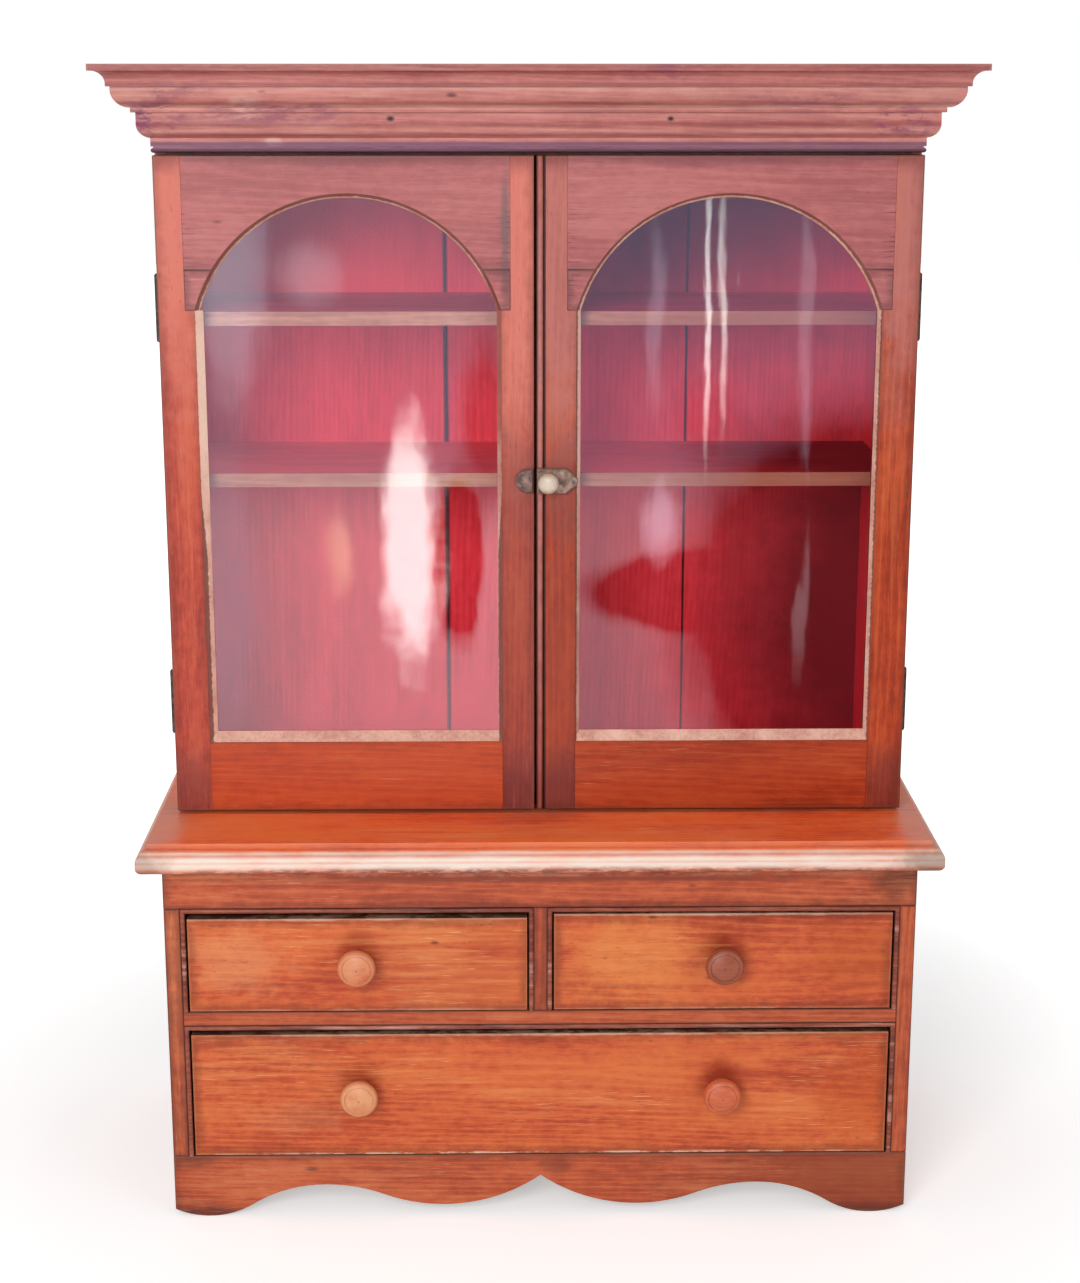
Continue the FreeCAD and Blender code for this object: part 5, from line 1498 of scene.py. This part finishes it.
@dataclass
class RimLatch:
    """The latch case with its knob and bolt on the right door, and the keeper on the left one.

    The screws are places by their X and their rise above the latch's level.
    """

    level: float = 0.8955
    case_front_y: float = -0.0835
    keeper_front_y: float = -0.0815
    case_screws: Rows = ((0.0004, 0.0118), (0.0004, -0.0118), (0.0405, 0.0))
    keeper_screws: Rows = ((-0.0215, 0.0065), (-0.0215, -0.0065))
    screw_turns: tuple[float, ...] = (0.5, 2.1, 1.2)
    screw_radius: float = 0.0024

    def dress(self) -> None:
        """Gives the case, keeper and hinges their iron, the bolt its steel and the knob its brass."""
        metals = {"latch_case": IRON, "latch_keeper": DULL_IRON, "latch_bolt": PALE_STEEL,
                  "latch_knob": BRASS, "hinge_case_leaves": BLACK_IRON, "hinge_pins": BLACK_IRON}
        for node, metal in metals.items():
            dress(node, metal.material(node + "_metal"))

    def build(self) -> None:
        """Screws the case and the keeper on."""
        for name, body, front, screws in (
            ("latch_case_screws", "right_door", self.case_front_y, self.case_screws),
            ("latch_keeper_screws", "left_door", self.keeper_front_y, self.keeper_screws),
        ):
            places = [(x, front, self.level + rise) for x, rise in screws]
            screw_on(name, body, places, FORWARD, self.screw_radius, self.screw_turns)


@dataclass
class Drawer:
    """One drawer: its front, dovetailed box, bottom and knobs. Chipped is how strongly its lower edge is."""

    name: str
    knob_xs: tuple[float, ...]
    knob_z: float
    seed: float
    smudges: Smudges
    bare_left: float = 0.6
    bare_right: float = 0.3
    knob_tint: Tint = Tint.ORANGE
    front_y: float = -0.1735
    knob_y: float = -0.2105
    ease: float = 0.0008
    chipped: float = 0.2

    def dress(self) -> None:
        """Stains the front, with a darker ring round each knob and chipped edges, and leaves the box bare."""
        low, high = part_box(self.name + "_front")
        middle = (low.x + high.x) / 2
        edge = ((high.x - low.x) * 0.7, 0.03, 0.0042)
        ring = paint(146, 44, 22)
        pale = paint(244, 198, 166)
        rings = tuple(Smudge((x, self.front_y, self.knob_z + 0.008), (0.040, 0.03, 0.036), ring, 0.85)
                      for x in self.knob_xs)
        top = Smudge((middle, self.front_y, high.z), (0.5, 0.02, 0.0032), paint(240, 178, 152), 0.65, 1.3)
        chips = tuple(Smudge((middle, self.front_y, z), edge, pale, strength, 0.4, Effect.CHIPPED)
                      for z, strength in ((low.z, self.chipped), (high.z, 0.35)))
        front = StainedBoard(Grain.ACROSS, Tint.ORANGE, face_y=self.front_y, wear=0.12, wear_reach=0.003,
                             scuff=0.55, soil=0.45, soil_reach=0.016, dent=0.8, fleck=0.5, scratch=0.45,
                             smudges=rings + (top,) + self.smudges, marks=chips)
        dress_boards({self.name + "_front": front}, self.ease, self.seed)
        inner = {self.name + "_box": BareBoard(Grain.DEEP), self.name + "_bottom": BareBoard(Grain.ACROSS)}
        dress_boards(inner, 0.0, self.seed + 5.0)
        axis = (self.knob_xs[0], self.knob_z)
        knob = TurnedFinish(axis, self.knob_y, self.knob_tint, self.bare_left, self.bare_right)
        dress(self.name + "_knob", knob.material(self.name + "_knob_finish", self.seed))


@dataclass(frozen=True)
class Lamp:
    """A soft square lamp that is hidden from the camera."""

    name: str
    place: Point
    aim: Point
    size: float
    power: float

    def build(self) -> None:
        """Hangs the lamp up and aims it."""
        data = bpy.data.lights.new(self.name, "AREA")
        data.shape = "SQUARE"
        data.size = self.size
        data.energy = self.power
        lamp = bpy.data.objects.new(self.name, data)
        lamp.location = self.place
        lamp.rotation_euler = (Vector(self.aim) - lamp.location).to_track_quat("-Z", "Y").to_euler()
        lamp.visible_camera = False
        bpy.context.scene.collection.objects.link(lamp)


WHITE = (1.0, 1.0, 1.0, 1.0)
DARK = (0.006, 0.003, 0.004, 1.0)


@dataclass
class Studio:
    """A pale floor, soft lamps and a camera at the photograph's place.

    A glint is a patch in the panes' reflections: X and Z on the panes, half width and half height, colour,
    strength and raggedness.
    """

    camera_place: Point = (-0.0361, -2.7393, 1.3650)
    pitch_deg: float = 75.990
    yaw_deg: float = -0.792
    lens: float = 64.348
    sensor: float = 36.0
    floor_half: float = 14.0
    sky_light: float = 0.38
    pane_y: float = -0.07
    card_y: float = -1.0
    card_gain: float = 10.0
    card_x: float = 0.75
    card_z: tuple[float, float] = (0.1, 1.4)
    lamps: tuple[Lamp, ...] = (
        Lamp("key_lamp", (-0.95, -3.2, 1.85), (0.0, -0.1, 0.80), 1.4, 65.0),
        Lamp("fill_lamp", (2.4, -2.7, 1.9), (0.0, -0.1, 0.7), 2.0, 14.0),
    )
    glints: tuple[tuple, ...] = (
        (0.375, 0.730, 0.265, 0.330, DARK, 2.4, 0.1),
        (0.263, 0.758, 0.239, 0.066, DARK, 6.0, 0.0),
        (-0.062, 0.965, 0.045, 0.160, DARK, 0.8, 0.3),
        (0.200, 0.960, 0.060, 0.080, DARK, 0.4, 0.4),
        (-0.265, 1.135, 0.050, 0.050, (0.30, 0.30, 0.36, 1.0), 0.7, 0.4),
        (-0.357, 1.140, 0.055, 0.217, (0.30, 0.32, 0.40, 1.0), 0.9, 0.4),
        (-0.370, 0.750, 0.050, 0.250, (0.26, 0.26, 0.33, 1.0), 0.6, 0.4),
        (-0.096, 0.798, 0.036, 0.128, DARK, 3.0, 0.3),
        (-0.150, 0.818, 0.043, 0.190, (1.0, 0.99, 1.0, 1.0), 1.5, 0.5),
        (-0.237, 0.807, 0.023, 0.068, (0.42, 0.38, 0.32, 1.0), 1.0, 0.5),
        (0.197, 1.091, 0.0060, 0.220, (0.85, 0.84, 0.86, 1.0), 1.0, 0.2),
        (0.218, 1.105, 0.0058, 0.195, (0.70, 0.69, 0.70, 1.0), 1.0, 0.2),
        (0.134, 1.082, 0.015, 0.147, (0.20, 0.20, 0.28, 1.0), 1.0, 0.4),
        (0.308, 1.081, 0.013, 0.220, (0.20, 0.19, 0.26, 1.0), 1.0, 0.4),
        (0.311, 0.747, 0.0077, 0.117, (0.14, 0.11, 0.12, 1.0), 1.0, 0.4),
        (0.145, 0.845, 0.026, 0.066, (0.42, 0.40, 0.50, 1.0), 0.9, 0.5),
    )

    def build(self) -> None:
        """Sets up the camera, the floor, the lamps, the reflections and the world."""
        self.camera()
        self.floor()
        for lamp in self.lamps:
            lamp.build()
        self.reflected_light()
        self.world()
        bpy.context.scene.view_settings.view_transform = "Standard"

    def camera(self) -> None:
        """The camera looks a little down from in front of the doors."""
        data = bpy.data.cameras.new("photo_camera")
        data.lens = self.lens
        data.sensor_width = self.sensor
        camera = bpy.data.objects.new("photo_camera", data)
        camera.location = self.camera_place
        camera.rotation_euler = Euler((math.radians(self.pitch_deg), 0.0, math.radians(self.yaw_deg)))
        bpy.context.scene.collection.objects.link(camera)
        bpy.context.scene.camera = camera

    def card(self, name: str, corners: list[Point], material: Material) -> bpy.types.Object:
        """Makes a flat card that belongs to the stage.

        Args:
            name: The card's name.
            corners: Its four corners, in order.
            material: Its material.

        Returns:
            The card.
        """
        mesh = bpy.data.meshes.new(name)
        mesh.from_pydata(corners, [], [(0, 1, 2, 3)])
        mesh.materials.append(material)
        card = bpy.data.objects.new(name, mesh)
        bpy.context.scene.collection.objects.link(card)
        return card

    def floor(self) -> None:
        """A pale floor that reads as white where nothing shades it."""
        bench = MaterialBench("pale_floor")
        lift = bench.span(bench.length(bench.place), 0.5, 1.8, 0.42, 1.0)
        feeds = {"Base Color": (0.9, 0.9, 0.9, 1.0), "Roughness": 0.9, "Emission Color": WHITE,
                 "Emission Strength": bench.times(bench.seen_directly(), lift)}
        material = bench.finish(bench.add("ShaderNodeBsdfPrincipled", feeds).outputs[0])
        far = self.floor_half
        self.card("floor", [(-far, -far, 0.0), (far, -far, 0.0), (far, far, 0.0), (-far, far, 0.0)], material)

    def reflected_light(self) -> None:
        """A card in front of the doors that only the panes' reflections see, with soft lights and shades.

        A point of a pane at P shows the camera at C the point P + k (P - C) of the card, where k is the
        card's distance from the panes over the camera's, so the patches are laid out as the panes show them.
        """
        bench = MaterialBench("reflected_glow")
        k = (self.pane_y - self.card_y) / (self.pane_y - self.camera_place[1])
        back = tuple(k / (1 + k) * value for value in self.camera_place)
        bench.place = bench.vector("MULTIPLY_ADD", bench.place, (1 / (1 + k),) * 3, back)
        x, _, z = bench.parts(bench.place)
        over = bench.span(z, 0.81, 0.96)
        left = bench.blend(over, (0.20, 0.205, 0.235, 1.0), (0.11, 0.12, 0.17, 1.0))
        right = bench.blend(over, (0.13, 0.135, 0.16, 1.0), (0.08, 0.09, 0.145, 1.0))
        colour = bench.blend(bench.span(x, -0.04, 0.035), left, right)
        endless = 100.0
        colour = bench.patched(colour, tuple(Smudge((across, 0.0, up), (wide, endless, tall), *look)
                                             for across, up, wide, tall, *look in self.glints))
        glow = bench.add("ShaderNodeEmission", {"Color": colour, "Strength": self.card_gain}).outputs[0]
        clear = bench.add("ShaderNodeBsdfTransparent").outputs[0]
        bounced = bench.calc("GREATER_THAN", bench.add("ShaderNodeLightPath").outputs["Glossy Depth"], 0.5)
        low, high = self.card_z
        corners = [(-self.card_x, self.card_y, low), (self.card_x, self.card_y, low),
                   (self.card_x, self.card_y, high), (-self.card_x, self.card_y, high)]
        card = self.card("reflection_card", corners, bench.finish(bench.either(bounced, clear, glow)))
        card.visible_camera = False
        card.visible_diffuse = False
        card.visible_shadow = False
        card.visible_volume_scatter = False

    def world(self) -> None:
        """An even sky that reads as white where it is seen and lights the part more softly."""
        world = bpy.data.worlds.new("studio_world")
        world.use_nodes = True
        world.node_tree.nodes.clear()
        bench = Bench(world.node_tree)
        strength = bench.line(bench.seen_directly(), 1.0 - self.sky_light, self.sky_light)
        sky = bench.add("ShaderNodeBackground", {"Color": WHITE, "Strength": strength})
        bench.add("ShaderNodeOutputWorld", {"Surface": sky.outputs[0]})
        bpy.context.scene.world = world


def drawers() -> list[Drawer]:
    """Makes the three drawers, each with the stains of its own front.

    Returns:
        The two small drawers and the long one below them.
    """
    face_y = -0.174
    pale = paint(238, 176, 124)
    left = (Smudge((-0.36, face_y, 0.33), (0.08, 0.03, 0.05), pale, 0.25, 1.4),
            Smudge((-0.10, face_y, 0.33), (0.20, 0.03, 0.10), paint(182, 82, 46), 0.45, 1.0))
    right = (Smudge((0.38, face_y, 0.33), (0.10, 0.03, 0.06), paint(188, 86, 32), 0.5, 1.0),
             Smudge((0.11, face_y, 0.33), (0.12, 0.03, 0.08), paint(228, 138, 72), 0.6, 1.2))
    long = (Smudge((-0.30, face_y, 0.13), (0.10, 0.03, 0.03), pale, 0.15, 1.4),
            Smudge((0.41, face_y, 0.16), (0.10, 0.03, 0.10), paint(198, 86, 28), 0.5, 1.0))
    knob_x, small_z, long_z = 0.218, 0.334, 0.167
    return [
        Drawer("left_drawer", (-knob_x,), small_z, 110.0, left, bare_left=0.38),
        Drawer("right_drawer", (knob_x,), small_z, 123.0, right, bare_right=0.12, knob_tint=Tint.KNOB),
        Drawer("long_drawer", (-knob_x, knob_x), long_z, 136.0, long, bare_right=0.05, ease=0.0002,
               chipped=0.8),
    ]


def main() -> None:
    """Builds and dresses the cupboard's sub-assemblies one after another, then sets up the studio."""
    logging.basicConfig(level=logging.INFO, format="%(name)s: %(message)s")
    base = BaseCarcass()
    case = UpperCase()
    doors = [GlazedDoor(hand) for hand in Hand]
    latch = RimLatch()
    for part in (base, WaistBoard(), case, Cornice(), *doors, latch, *drawers()):
        part.dress()
    for part in (base, case, *doors, latch):
        part.build()
    Studio().build()


if __name__ == "__main__":
    main()
